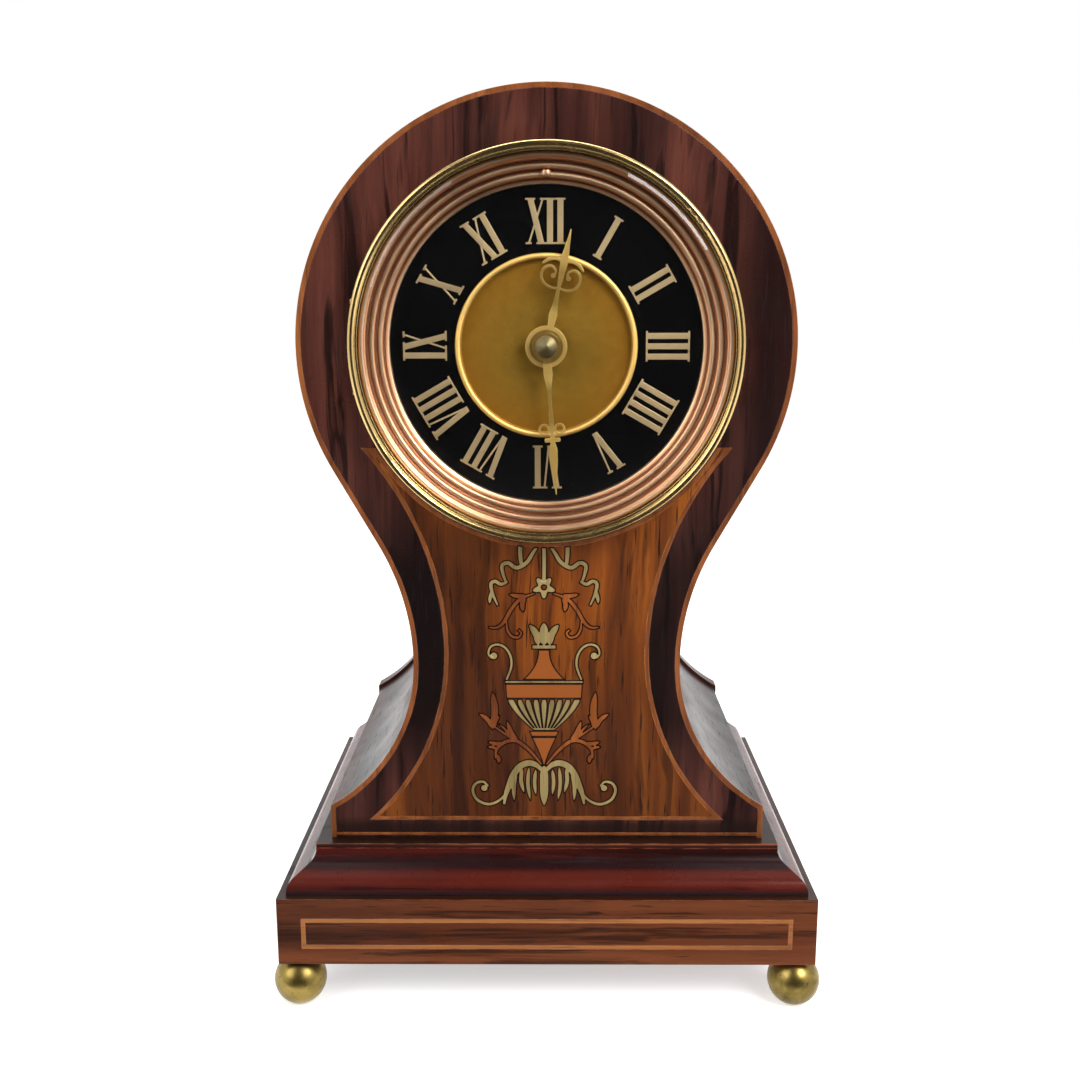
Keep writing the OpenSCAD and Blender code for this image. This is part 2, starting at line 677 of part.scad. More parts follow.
module dial_numerals() color([0.8, 0.7, 0.48]) slab(dial_back - numeral_t, numeral_t)
  for (i = [0:11]) rotate(-30 * (i + 1)) translate([0, numeral_in]) numeral(hour_marks[i]);

// Hinged bezel with its glass
glass_r = bezel_in_r - seat_gap;
bezel_back = mount_t + face_gap;
glass_front = bezel_out - 1.6;
module bezel_ring() color([0.84, 0.68, 0.4]) {
  difference() {
    turned() union() {
      translate([bezel_in_r, bezel_back]) square([bezel_r - 0.4 - bezel_in_r, bezel_out - bezel_back - bead_r]);
      translate([bezel_r - bead_r, bezel_out - bead_r]) circle(r = bead_r, $fn = 48);
      translate([bezel_r - skirt_t, bezel_back]) square([skirt_t, 1.2]);
      translate([bezel_in_r - 0.7, glass_front]) square([1, 0.7]);
    }
    hinge_pocket(knuckle_len / 2 - 0.2, knuckle_len + pocket_gap + 0.5, 0);
    hinge_pocket(-1.5 * knuckle_len - pocket_gap - 0.3, knuckle_len + pocket_gap + 0.5, 0);
  }
  dial_frame() difference() {
    translate([hinge_x, -knuckle_len / 2, hinge_h]) rotate([-90, 0, 0])
      cylinder(r = knuckle_r, h = knuckle_len, $fn = 48);
    hinge_bore(hinge_x, hinge_h, pin_r + run_gap);
  }
}
skirt_t = 0.9;
module bezel_glass() color([0.8, 0.9, 0.9, 0.3]) turned()
  polygon([[0, glass_front - glass_t], [glass_r, glass_front - glass_t], [glass_r, glass_front - 0.7],
    [glass_r - 0.6, glass_front - 0.7], [glass_r - 0.6 - bevel_w, glass_front], [0, glass_front]]);
// Snap tongue under the right edge of the bezel, just outside the rim of the mounting ring
module bezel_catch() color([0.8, 0.64, 0.36]) dial_frame()
  translate([mount_r + face_gap, -catch_len / 2, 0.4])
    cube([bezel_r - mount_r - face_gap - 0.1, catch_len, bezel_back - 0.4]);
catch_len = 5;

// Brass ring and door at the back, drawn about the dial's axis; depths are behind the case front
ring_face = case_d + door_ring_t;
door_face = ring_face + face_gap;
spigot_t = 1.5;
spigot_d = 5;
door_hinge_x = door_r + knuckle_r + 2 * face_gap;
door_hinge_d = case_d + knuckle_r + 0.25;
module door_ring() color([0.8, 0.64, 0.36]) {
  slab(case_d, door_ring_t) difference() {
    circle(r = door_r + 1, $fn = 180);
    circle(r = back_open_r - seat_gap - spigot_t, $fn = 180);
    translate([door_hinge_x - knuckle_r - face_gap, -knuckle_len / 2 - 2 * face_gap])
      square([5, knuckle_len + 4 * face_gap]);
  }
  slab(case_d - spigot_d, spigot_d) difference() {
    circle(r = back_open_r - seat_gap, $fn = 180);
    circle(r = back_open_r - seat_gap - spigot_t, $fn = 180);
  }
  for (s = [-1, 1]) dial_frame() difference() {
    union() {
      translate([door_hinge_x, s * (knuckle_len + face_gap) - knuckle_len / 2, -door_hinge_d])
        rotate([-90, 0, 0])
        cylinder(r = knuckle_r, h = knuckle_len, $fn = 48);
      translate([door_r - 1.5, s * (knuckle_len + face_gap) - knuckle_len / 2, -ring_face + 0.1])
        cube([door_hinge_x - door_r + 1.5, knuckle_len, door_ring_t - 0.2]);
    }
    hinge_bore(door_hinge_x, -door_hinge_d, pin_r);
  }
}
module door_hinge_pin() color([0.75, 0.6, 0.35]) dial_frame()
  translate([door_hinge_x, -hinge_len / 2 - pin_over, -door_hinge_d]) rotate([-90, 0, 0])
    cylinder(r = pin_r, h = hinge_len + 2 * pin_over, $fn = 48);
module back_door() color([0.82, 0.66, 0.4]) {
  slab(door_face, door_t) circle(r = door_r, $fn = 180);
  dial_frame() difference() {
    union() {
      translate([door_hinge_x, -knuckle_len / 2, -door_hinge_d]) rotate([-90, 0, 0])
        cylinder(r = knuckle_r, h = knuckle_len, $fn = 48);
      translate([door_r - 1, -knuckle_len / 2, -door_face - door_t])
        cube([door_hinge_x - door_r + 1, knuckle_len, 1]);
    }
    hinge_bore(door_hinge_x, -door_hinge_d, pin_r + run_gap);
  }
}
module door_knob() color([0.82, 0.66, 0.4]) dial_frame()
  translate([-door_r + 7, 0, -door_face - door_t - knob_len]) rotate_extrude($fn = 64)
    polygon([[0, 0], [2.6, 0], [3.2, 0.7], [3.2, 1.6], [1.7, 2.6], [1.7, knob_len], [0, knob_len]]);

// Hands, drawn pointing at twelve and then turned to the time
hand_gap = 0.8;
hour_z = 0.6;
minute_z = hour_z + hand_t + hand_gap;
hour_pipe_r = 2.6;
cannon_r = 1.8;
arbor_r = 1;
// Each blade is given by [distance, half width] pairs
function blade(p) = concat([for (q = p) [q[1], q[0]]], [for (i = [len(p) - 1:-1:0]) [-p[i][1], p[i][0]]]);
module hour_hand() color([0.78, 0.62, 0.34]) dial_frame() translate([0, 0, hour_z]) rotate(-hour_angle)
  difference() {
    union() {
      cylinder(r = 6.2, h = hand_t, $fn = 64);
      linear_extrude(hand_t) polygon(blade([[3, 0.7], [6, 0.9], [9.5, 1.25], [12.4, 0.7], [17.6, 0.45],
        [19.4, 0.7], [22.4, 0.9], [25.6, 1.2], [29.4, 0.7], [hour_len, 0.15]]));
      for (s = [0, 1]) mirror([s, 0]) {
        linear_extrude(hand_t) strip([[-0.1, 17.45], [2.2, 17.1], [4.6, 18], [5.8, 20.2], [5.2, 22.4],
          [3.4, 23.2],
          [1.9, 22.2], [1.9, 20.8]], 0.8, 0.7, 0.7, 4);
        linear_extrude(hand_t) strip([[-0.1, 25.1], [2.4, 25.6], [4.6, 24.9], [6.2, 23.4]], 1, 0.8, 0.4, 3);
        translate([2.3, 20.6]) cylinder(r = 0.7, h = hand_t, $fn = 24);
      }
    }
    translate([0, 0, -1]) cylinder(r = hour_pipe_r, h = hand_t + 2, $fn = 64);
  }
module minute_hand() color([0.78, 0.62, 0.34]) dial_frame() translate([0, 0, minute_z]) rotate(-minute_angle)
  linear_extrude(hand_t) difference() {
    union() {
      circle(r = 4.3, $fn = 64);
      polygon(blade([[2, 1], [4.2, 1.2], [8, 1.35], [12.6, 0.6], [17.6, 0.45], [21.6, 0.75], [23.4, 0.6],
        [28.6, 0.7], [30.4, 1.25], [34, 1.1], [40.6, 0.4], [minute_len, 0.14]]));
      polygon(blade([[27, 2.2], [27.6, 2.4], [28.2, 2.2]]));
      for (s = [0, 1]) mirror([s, 0]) difference() {
        translate([2.3, 24.4]) circle(r = 1.75, $fn = 32);
        translate([2.3, 24.4]) circle(r = 1.05, $fn = 32);
      }
    }
    circle(r = cannon_r, $fn = 64);
  }
module hand_nut() color([0.55, 0.53, 0.45]) turned() difference() {
  polygon([[0, minute_z + hand_t], [3.2, minute_z + hand_t], [3.2, minute_z + hand_t + 0.5],
    [2.6, minute_z + hand_t + 0.9], [0.5, minute_z + hand_t + 1.9], [0, minute_z + hand_t + 1.9]]);
  square([arbor_r, nut_top]);
}
nut_top = minute_z + hand_t + 1.2;

// Drum that holds the movement, and its cover
cover_t = 1.2;
module drum() color([0.78, 0.62, 0.34]) difference() {
  slab(0, drum_d) difference() {
    circle(r = drum_r, $fn = 180);
    circle(r = drum_r - drum_wall, $fn = 180);
  }
  for (a = [90:120:330]) drum_screw_hole(a, cover_screw_d);
  for (a = [0, 180]) drum_screw_hole(a, bracket_d);
}
cover_screw_d = drum_d - 3;
bracket_d = 24;
bracket_w = 10;
bracket_t = 1.4;
bracket_reach = 13;
module drum_screw_hole(a, d) dial_frame() rotate(a) translate([drum_r - 4, 0, -d]) rotate([0, 90, 0])
  cylinder(r = screw_r, h = 8, $fn = 32);
key_hole_r = 3;
module drum_cover() color([0.78, 0.62, 0.34]) difference() {
  turned() polygon([[0, -drum_d], [0, -drum_d - cover_t], [drum_r, -drum_d - cover_t], [drum_r, -drum_d],
    [cover_rim_r, -drum_d], [cover_rim_r, -drum_d + cover_rim_d],
      [cover_rim_r - cover_rim_t, -drum_d + cover_rim_d], [cover_rim_r - cover_rim_t, -drum_d]]);
  rod(barrel_p, drum_d - 1, drum_d + cover_t + 1, key_hole_r);
  rod([0, 0], drum_d - 1, drum_d + cover_t + 1, arbor_r + 0.3);
  slab(drum_d - 1, cover_t + 2) regulator_slot();
  for (a = [90:120:330]) drum_screw_hole(a, cover_screw_d);
}
// Rim of the cover inside the drum
cover_rim_r = drum_r - drum_wall;
cover_rim_t = 1.2;
cover_rim_d = 6;
module drum_brackets() color([0.75, 0.6, 0.35]) for (s = [0, 1]) dial_frame() mirror([s, 0]) difference() {
  union() {
    translate([drum_r - 1, -bracket_w / 2, -bracket_d - bracket_w / 2])
      cube([bracket_t + 1, bracket_w, bracket_d + bracket_w / 2 - front_back]);
    translate([drum_r - 1, -bracket_w / 2, -front_back - bracket_t])
      cube([bracket_reach, bracket_w, bracket_t]);
  }
  translate([0, 0, -drum_d]) cylinder(r = drum_r, h = drum_d, $fn = 180);
  translate([bracket_screw_r, 0, -front_back - 3]) cylinder(r = screw_r, h = 6, $fn = 32);
  translate([drum_r - 4, 0, -bracket_d]) rotate([0, 90, 0]) cylinder(r = screw_r, h = 8, $fn = 32);
}
module small_screws() color([0.6, 0.6, 0.58]) {
  for (a = [90:120:330]) dial_frame() rotate(a) translate([drum_r - 2.6, 0, -cover_screw_d])
    rotate([0, 90, 0]) {
    cylinder(r = screw_r, h = 2.6, $fn = 32);
    translate([0, 0, 2.6]) cylinder(r = head_r_small, h = head_t, $fn = 32);
  }
  for (s = [0, 1]) dial_frame() mirror([s, 0]) {
    translate([drum_r - 2.2, 0, -bracket_d]) rotate([0, 90, 0]) cylinder(r = screw_r, h = 3.6, $fn = 32);
    translate([drum_r + bracket_t, 0, -bracket_d]) rotate([0, 90, 0])
      cylinder(r = head_r_small, h = head_t, $fn = 32);
    translate([bracket_screw_r, 0, -front_back - bracket_t]) cylinder(r = screw_r, h = screw_len, $fn = 32);
    translate([bracket_screw_r, 0, -front_back - bracket_t - head_t])
      cylinder(r = head_r_small, h = head_t, $fn = 32);
  }
  for (p = pillar_p) {
    rod(p, back_d, back_d + plate_t, pillar_hole_r);
    rod(p, back_d + plate_t, back_d + plate_t + 0.9, 2.1);
  }
}

// Plates and pillars
front_d = plate_back + plate_t;
back_d = front_d + plate_gap;
dial_foot_at = plate_r - 3;
pillar_at = plate_r - 4.4;
pillar_p = [for (a = [45:90:315]) polar([0, 0], pillar_at, a)];
pillar_r = 2.4;
pillar_hole_r = 1.2;
pivot_r = 0.5;
function polar(c, r, a) = c + r * [cos(a), sin(a)];
// Radius of a pitch circle
function pitch(z, m) = z * m / 2;

// Tooth counts
barrel_z = 80;
inter_pinion_z = 12;
inter_z = 60;
centre_pinion_z = 12;
centre_z = 80;
third_pinion_z = 10;
third_z = 75;
fourth_pinion_z = 10;
fourth_z = 80;
escape_pinion_z = 8;
escape_z = 15;
cannon_z = 12;
minute_z_teeth = 36;
minute_pinion_z = 10;
hour_teeth = 40;
ratchet_z = 24;
hour_m = motion_m * (cannon_z + minute_z_teeth) / (minute_pinion_z + hour_teeth);

// Places of the arbors, right and up from the dial arbor
barrel_p = [0, -pitch(barrel_z, barrel_m) - 2.6];
inter_c = pitch(inter_z + centre_pinion_z, inter_m);
inter_b = pitch(barrel_z + inter_pinion_z, barrel_m);
inter_y = (inter_c * inter_c - inter_b * inter_b + barrel_p[1] * barrel_p[1]) / (2 * barrel_p[1]);
inter_p = [-sqrt(inter_c * inter_c - inter_y * inter_y), inter_y];
third_p = polar([0, 0], pitch(centre_z + third_pinion_z, centre_m), 60);
fourth_p = polar(third_p, pitch(third_z + fourth_pinion_z, third_m), 170);
escape_reach = pitch(fourth_z + escape_pinion_z, fourth_m);
escape_p = [0, fourth_p[1] + sqrt(escape_reach * escape_reach - fourth_p[0] * fourth_p[0])];
minute_p = [pitch(cannon_z + minute_z_teeth, motion_m), 0];
lever_a = -40;
escape_r = 4.5;
lever_reach = 5.6;
lever_p = polar(escape_p, lever_reach, lever_a);
balance_p = polar(escape_p, 12, lever_a);
click_p = polar(barrel_p, 11.4, 40);
cock_p = polar(balance_p, 11, 20);

// Involute teeth: half the angle of a tooth at radius r, then the outline of a wheel
function involute(a) = tan(a) * 180 / PI - a;
function half_tooth(r, z, m) =
  let (rp = pitch(z, m), rb = rp * cos(press_angle), a = r > rb ? acos(rb / r) : 0)
  90 / z - backlash / (2 * rp) * 90 / PI + involute(press_angle) - involute(a);
function tooth_radii(z, m) = [pitch(z, m) - 1.1 * m, pitch(z, m) - 0.2 * m, pitch(z, m) + 0.3 * m,
  pitch(z, m) + 0.8 * m];
function gear_outline(z, m, start = 0) = [
  for (i = [0:z - 1], k = [-4:4]) if (k != 0)
    let (r = tooth_radii(z, m)[k < 0 ? k + 4 : 4 - k], h = half_tooth(r, z, m) * (k < 0 ? -1 : 1))
      r * [cos(start + i * 360 / z + h), sin(start + i * 360 / z + h)]
];
// Angle of a follower's first tooth when it meshes with a wheel whose first tooth is at a1
function mate(from, to, a1, z1, z2) =
  let (v = to - from, phi = atan2(v[1], v[0])) phi + 180 + 180 / z2 - (a1 - phi) * z1 / z2;
module gear(p, z, m, depth, t, start = 0, bore = 0, hub = 0) slab(depth, t) translate(p) difference() {
  polygon(gear_outline(z, m, start));
  if (bore > 0) circle(r = bore, $fn = 48);
  if (hub > 0) crossings(hub, pitch(z, m) - 1.1 * m - 1.3);
}
// Openings between the arms of a wheel
arm_w = 1.3;
module crossings(hub, rim) difference() {
  circle(r = rim, $fn = 96);
  circle(r = hub, $fn = 48);
  for (a = [0:72:288]) rotate(a) translate([0, -arm_w / 2]) square([rim + 1, arm_w]);
}
pivot_gap = 0.15;
module arbor(p, r, far = 0) {
  rod(p, front_d + pivot_gap, back_d - pivot_gap, r);
  rod(p, plate_back + 0.3, front_d + pivot_gap, pivot_r);
  rod(p, back_d - pivot_gap, back_d + plate_t - 0.3 + far, pivot_r);
}

module front_plate() color([0.8, 0.64, 0.36]) {
  slab(plate_back, plate_t) difference() {
    circle(r = plate_r, $fn = 180);
    circle(r = arbor_r + run_gap, $fn = 48);
    translate(barrel_p) circle(r = barrel_pivot_r + run_gap, $fn = 48);
    for (p = [inter_p, third_p, fourth_p, escape_p]) translate(p) circle(r = pivot_r + run_gap, $fn = 32);
    for (p = pillar_p) translate(p) circle(r = pillar_hole_r, $fn = 32);
    for (a = [30:120:270]) translate(polar([0, 0], dial_foot_at, a)) circle(r = foot_pin_r, $fn = 32);
  }
  rod(minute_p, motion_d - 0.4, plate_back, stud_pin_r);
}
stud_pin_r = 0.9;
module back_plate() color([0.8, 0.64, 0.36]) slab(back_d, plate_t) difference() {
  circle(r = plate_r, $fn = 180);
  circle(r = arbor_r + run_gap, $fn = 48);
  translate(barrel_p) circle(r = winding_r + run_gap, $fn = 48);
  for (p = [inter_p, third_p, fourth_p, escape_p, lever_p, balance_p]) translate(p)
    circle(r = pivot_r + run_gap, $fn = 32);
  for (p = pillar_p) translate(p) circle(r = pillar_hole_r, $fn = 32);
}
module plate_pillars() color([0.8, 0.64, 0.36]) for (p = pillar_p) {
  difference() {
    rod(p, front_d, back_d, pillar_r);
    rod(p, back_d - 4, back_d + 1, pillar_hole_r);
  }
  rod(p, plate_back, front_d, pillar_hole_r);
}

// Motion work behind the dial
motion_d = 4.6;
hour_wheel_d = motion_d + 0.4;
minute_wheel_d = motion_d + 2.6;
module cannon_pinion() color([0.7, 0.68, 0.6]) {
  gear([0, 0], cannon_z, motion_m, minute_wheel_d - 0.2, wheel_t + 0.6, 0, arbor_r);
  dial_frame() difference() {
    translate([0, 0, -minute_wheel_d - 1])
      cylinder(r = cannon_r, h = minute_wheel_d + 1 + minute_z + hand_t, $fn = 64);
    translate([0, 0, -minute_wheel_d - 3]) cylinder(r = arbor_r, h = 20, $fn = 48);
  }
}
module minute_wheel() color([0.8, 0.64, 0.36]) {
  gear(minute_p, minute_z_teeth, motion_m, minute_wheel_d, wheel_t,
    mate([0, 0], minute_p, 0, cannon_z, minute_z_teeth),
    stud_pin_r + run_gap, 4);
  gear(minute_p, minute_pinion_z, hour_m, motion_d, minute_wheel_d - motion_d, 0, stud_pin_r + run_gap);
}
module hour_wheel() color([0.8, 0.64, 0.36]) {
  gear([0, 0], hour_teeth, hour_m, hour_wheel_d, wheel_t,
    mate(minute_p, [0, 0], 0, minute_pinion_z, hour_teeth),
    cannon_r + run_gap, 4);
  turned() translate([cannon_r + run_gap, -hour_wheel_d])
    square([hour_pipe_r - cannon_r - run_gap, hour_wheel_d + hour_z + hand_t]);
}
knob_d = drum_d + cover_t + 3;
module centre_arbor() color([0.65, 0.65, 0.65]) dial_frame()
  translate([0, 0, -knob_d - 4]) cylinder(r = arbor_r, h = knob_d + 4 + nut_top, $fn = 48);
setting_r = 6;
module setting_knob() color([0.8, 0.64, 0.36]) slab(knob_d, 4) difference() {
  circle(r = setting_r, $fn = 96);
  circle(r = arbor_r, $fn = 48);
  for (a = [0:15:345]) rotate(a) translate([setting_r + 0.25, 0]) circle(r = 0.6, $fn = 16);
}

// Barrel, its arbor and the click work
barrel_wall = 1;
barrel_d = front_d + 2.4;
barrel_end = back_d - 3.4;
winding_r = 1.8;
barrel_pivot_r = 1.4;
hub_r = 2.4;
drum_out = pitch(barrel_z, barrel_m) - 1.4;
module barrel() color([0.82, 0.66, 0.38]) {
  difference() {
    rod(barrel_p, barrel_d, barrel_end - wheel_t, drum_out);
    rod(barrel_p, barrel_d + barrel_wall, barrel_end - wheel_t + 1, drum_out - barrel_wall);
    rod(barrel_p, barrel_d - 1, barrel_end, hub_r + run_gap);
  }
  gear(barrel_p, barrel_z, barrel_m, barrel_end - wheel_t, wheel_t,
    mate(inter_p, barrel_p, 0, inter_pinion_z, barrel_z), hub_r + run_gap);
}
// Mainspring: one flat strip wound inwards from the barrel's wall
spring_turns = 6;
spring_pitch = 1.05;
spring_strip = 0.45;
function coil(r0, n) = [for (i = [0:n * 20]) let (a = i * 18, r = r0 - spring_pitch * a / 360)
  r * [cos(a), sin(a)]];
module mainspring() color([0.4, 0.42, 0.48])
  slab(barrel_d + barrel_wall + 0.5, barrel_end - barrel_d - wheel_t - barrel_wall - 1)
  translate(barrel_p) polygon([
    for (q = coil(drum_out - barrel_wall - 0.05, spring_turns)) q,
    for (i = [spring_turns * 20:-1:0]) let (q = coil(drum_out - barrel_wall - 0.05 - spring_strip,
      spring_turns)[i]) q
  ]);
echo(str("mainspring gap between turns ", spring_pitch - spring_strip));
square_w = 2.5;
square_end = drum_d + cover_t + 9;
module winding_arbor() color([0.65, 0.65, 0.65]) {
  rod(barrel_p, barrel_d - 0.6, barrel_end + 0.6, hub_r);
  rod(barrel_p, plate_back + 0.2, barrel_d - 0.6, barrel_pivot_r);
  rod(barrel_p, barrel_end + 0.6, back_d + plate_t + 0.2, winding_r);
  slab(back_d + plate_t + 0.2, square_end - 1.2 - back_d - plate_t - 0.2) translate(barrel_p)
    square(square_w, center = true);
}
ratchet_d = back_d + plate_t + 0.4;
module ratchet_wheel() color([0.7, 0.7, 0.68]) slab(ratchet_d, 1.2) translate(barrel_p) difference() {
  polygon([for (i = [0:ratchet_z - 1], k = [0, 1]) let (a = (i + k * 0.96) * 360 / ratchet_z)
    (k == 0 ? ratchet_r - 0.9 : ratchet_r) * [cos(a), sin(a)]]);
  square(square_w, center = true);
}
module winding_key() color([0.82, 0.66, 0.4]) {
  slab(square_end - 7, 11) translate(barrel_p) difference() {
    circle(r = 2.7, $fn = 48);
    square(square_w, center = true);
  }
  dial_frame() translate([barrel_p[0], barrel_p[1], -square_end - 3]) rotate([90, 0, 0])
    linear_extrude(1.6, center = true) difference() {
    union() {
      for (s = [-1, 1]) translate([s * 6, 0]) circle(r = 5, $fn = 48);
      translate([-3, -4]) square([6, 8]);
    }
    for (s = [-1, 1]) translate([s * 6.8, 0]) circle(r = 2.2, $fn = 32);
  }
}
click_t = 1.1;
module click() color([0.65, 0.65, 0.66]) slab(ratchet_d, click_t) translate(click_p) difference() {
  polygon(concat(arc([0, 0], click_r, -150, 95, 30), [click_tip + [0.4, 0.9], click_tip]));
  circle(r = click_bore_r + run_gap, $fn = 32);
}
click_r = 1.9;
click_bore_r = 0.9;
click_tip = polar(barrel_p, ratchet_r + 0.35, 74) - click_p;
module click_spring() color([0.55, 0.57, 0.6]) {
  slab(ratchet_d, click_t) {
    strip([click_p + [7.6, 1.4], click_p + [5.4, 3.6], click_p + [2.4, 4.4], click_p + [0.2, 3.2]], 0.6, 1, 1);
    translate(click_p + [7.6, 1.4]) circle(r = 1.5, $fn = 32);
  }
  rod(click_p + [7.6, 1.4], back_d + plate_t, ratchet_d, 1.2);
  rod(click_p, back_d + plate_t, ratchet_d + click_t + 0.2, click_bore_r);
  rod(click_p, ratchet_d + click_t + 0.2, ratchet_d + click_t + 0.8, 1.6);
}

// Going train
inter_wheel_d = front_d + 0.7;
centre_wheel_d = back_d - 2;
third_wheel_d = front_d + 10;
fourth_wheel_d = front_d + 16;
pipe_r = 1.6;
module intermediate_wheel() color([0.8, 0.64, 0.36]) {
  gear(inter_p, inter_z, inter_m, inter_wheel_d, wheel_t, 0, 0.5, 3);
  gear(inter_p, inter_pinion_z, barrel_m, barrel_end - wheel_t - 0.4, wheel_t + 0.8, 0);
  arbor(inter_p, 1.1);
}
module centre_wheel() color([0.8, 0.64, 0.36]) {
  gear([0, 0], centre_z, centre_m, centre_wheel_d, wheel_t, 0, arbor_r + run_gap, 3);
  gear([0, 0], centre_pinion_z, inter_m, inter_wheel_d - 0.4, wheel_t + 0.8,
    mate(inter_p, [0, 0], 0, inter_z, centre_pinion_z), arbor_r + run_gap);
  slab(inter_wheel_d, centre_wheel_d + wheel_t + 0.4 - inter_wheel_d) difference() {
    circle(r = pipe_r, $fn = 48);
    circle(r = arbor_r + run_gap, $fn = 48);
  }
}
module third_wheel() color([0.8, 0.64, 0.36]) {
  gear(third_p, third_z, third_m, third_wheel_d, wheel_t, 0, 0.5, 3);
  gear(third_p, third_pinion_z, centre_m, centre_wheel_d - 0.4, wheel_t + 0.8,
    mate([0, 0], third_p, 0, centre_z, third_pinion_z));
  arbor(third_p, 0.9);
}
module fourth_wheel() color([0.8, 0.64, 0.36]) {
  gear(fourth_p, fourth_z, fourth_m, fourth_wheel_d, wheel_t * 0.7, 0, 0.5, 2.4);
  gear(fourth_p, fourth_pinion_z, third_m, third_wheel_d - 0.4, wheel_t + 0.8,
    mate(third_p, fourth_p, 0, third_z, fourth_pinion_z));
  arbor(fourth_p, 0.8);
}
escape_d = back_d + plate_t + 1.2;
escape_t = 0.5;
module escape_wheel() color([0.84, 0.7, 0.42]) {
  gear(escape_p, escape_pinion_z, fourth_m, fourth_wheel_d - 0.4, wheel_t * 0.7 + 0.8,
    mate(fourth_p, escape_p, 0, fourth_z, escape_pinion_z));
  arbor(escape_p, 0.6, 2.6);
  slab(escape_d, escape_t) translate(escape_p) difference() {
    polygon([for (i = [0:escape_z - 1], k = [0:3]) let (a = i * 360 / escape_z + [0, 3, 9, 12][k])
      [escape_r - 1.3, escape_r - 0.5, escape_r, escape_r - 0.35][k] * [cos(a), sin(a)]]);
    difference() {
      circle(r = escape_r - 1.9, $fn = 48);
      circle(r = 1, $fn = 32);
      for (a = [0:90:270]) rotate(a) translate([0, -0.3]) square([escape_r, 0.6]);
    }
  }
}

// Lever, balance, cock and regulator behind the back plate
lever_t = 0.6;
balance_d = back_d + plate_t + 4.6;
cock_d = balance_d + 3.6;
cock_t = 1.4;
fork_in = 1.95;
module lever() color([0.6, 0.62, 0.66]) {
  slab(escape_d, lever_t) translate(lever_p) rotate(lever_a) {
    circle(r = 1.1, $fn = 32);
    translate([0, -0.45]) square([3.4, 0.9]);
    difference() {
      translate([3, -1.2]) square([6.4 - fork_in - 3, 2.4]);
      translate([3.6, -0.7]) square([3, 1.4]);
    }
    difference() {
      intersection() {
        translate([-lever_reach, 0]) circle(r = escape_r + 1.6, $fn = 64);
        translate([-lever_reach, 0]) polygon([[0, 0], polar([0, 0], 9, 34), polar([0, 0], 9, 0),
          polar([0, 0], 9, -34)]);
      }
      translate([-lever_reach, 0]) circle(r = escape_r + 0.55, $fn = 64);
    }
  }
  rod(lever_p, back_d + 0.3, escape_d + 2.4, pivot_r);
}
pin_at = 1.5;
module balance_wheel() color([0.84, 0.7, 0.42]) {
  slab(balance_d, 0.9) translate(balance_p) difference() {
    circle(r = balance_r, $fn = 96);
    difference() {
      circle(r = balance_r - 0.9, $fn = 96);
      circle(r = 1.4, $fn = 32);
      for (a = [0:120:240]) rotate(a) translate([0, -0.4]) square([balance_r, 0.8]);
    }
  }
  rod(balance_p, back_d + 0.3, cock_d + 0.9, pivot_r);
  rod(balance_p, escape_d + 1.2, escape_d + 1.9, 2.1);
  rod(balance_p + pin_at * [cos(lever_a + 180), sin(lever_a + 180)], escape_d, escape_d + 1.2, 0.25);
  // Hairspring: one thin strip wound outwards from its collet
  rod(balance_p, balance_d + 1.6, balance_d + 2.4, 1);
  slab(balance_d + 1.8, 0.4) translate(balance_p) polygon([
    for (q = hair(0)) q,
    for (i = [len(hair(0)) - 1:-1:0]) hair(hair_strip)[i]
  ]);
}
hair_pitch = 0.62;
hair_strip = 0.14;
hair_turns = 5;
function hair(w) = [for (i = [0:hair_turns * 20]) let (a = i * 18)
  (0.9 + w + hair_pitch * a / 360) * [cos(a), sin(a)]];
echo(str("hairspring gap between turns ", hair_pitch - hair_strip));
module balance_cock() color([0.8, 0.64, 0.36]) {
  rod(cock_p, back_d + plate_t, cock_d, 2.6);
  difference() {
    union() {
      rod(cock_p, cock_d, cock_d + cock_t, 2.6);
      rod(balance_p, cock_d, cock_d + cock_t, 2.6);
      slab(cock_d, cock_t) translate(balance_p) rotate(20) translate([0, -2]) square([11, 4]);
    }
    rod(balance_p, cock_d - 1, cock_d + cock_t + 1, pivot_r + run_gap);
  }
  rod(balance_p, cock_d + 1.1, cock_d + cock_t + 1, 1.2);
}
regulator_d = cock_d + cock_t + 0.1;
regulator_len = 10;
regulator_a = 100;
regulator_swing = 18;
module regulator() color([0.6, 0.62, 0.66]) {
  slab(regulator_d, 0.7) translate(balance_p) difference() {
    union() {
      circle(r = 2.4, $fn = 48);
      rotate(regulator_a) translate([0, -0.5]) square([regulator_len, 1]);
      rotate(regulator_a) translate([regulator_len, 0]) circle(r = 0.9, $fn = 32);
    }
    circle(r = 1.2 + run_gap, $fn = 48);
  }
  rod(polar(balance_p, regulator_len, regulator_a), regulator_d + 0.7, drum_d + cover_t + 2, 0.55);
}
slot_half = regulator_swing + 4;
slot_w = 1;
module regulator_slot() translate(balance_p) polygon(concat(
  arc([0, 0], regulator_len + slot_w, regulator_a - slot_half, regulator_a + slot_half, 24),
  arc(polar([0, 0], regulator_len, regulator_a + slot_half), slot_w, regulator_a + slot_half + 15,
    regulator_a + slot_half + 165, 10),
  arc([0, 0], regulator_len - slot_w, regulator_a + slot_half, regulator_a - slot_half, 24),
  arc(polar([0, 0], regulator_len, regulator_a - slot_half), slot_w, regulator_a - slot_half + 195,
    regulator_a - slot_half + 345, 10)
));

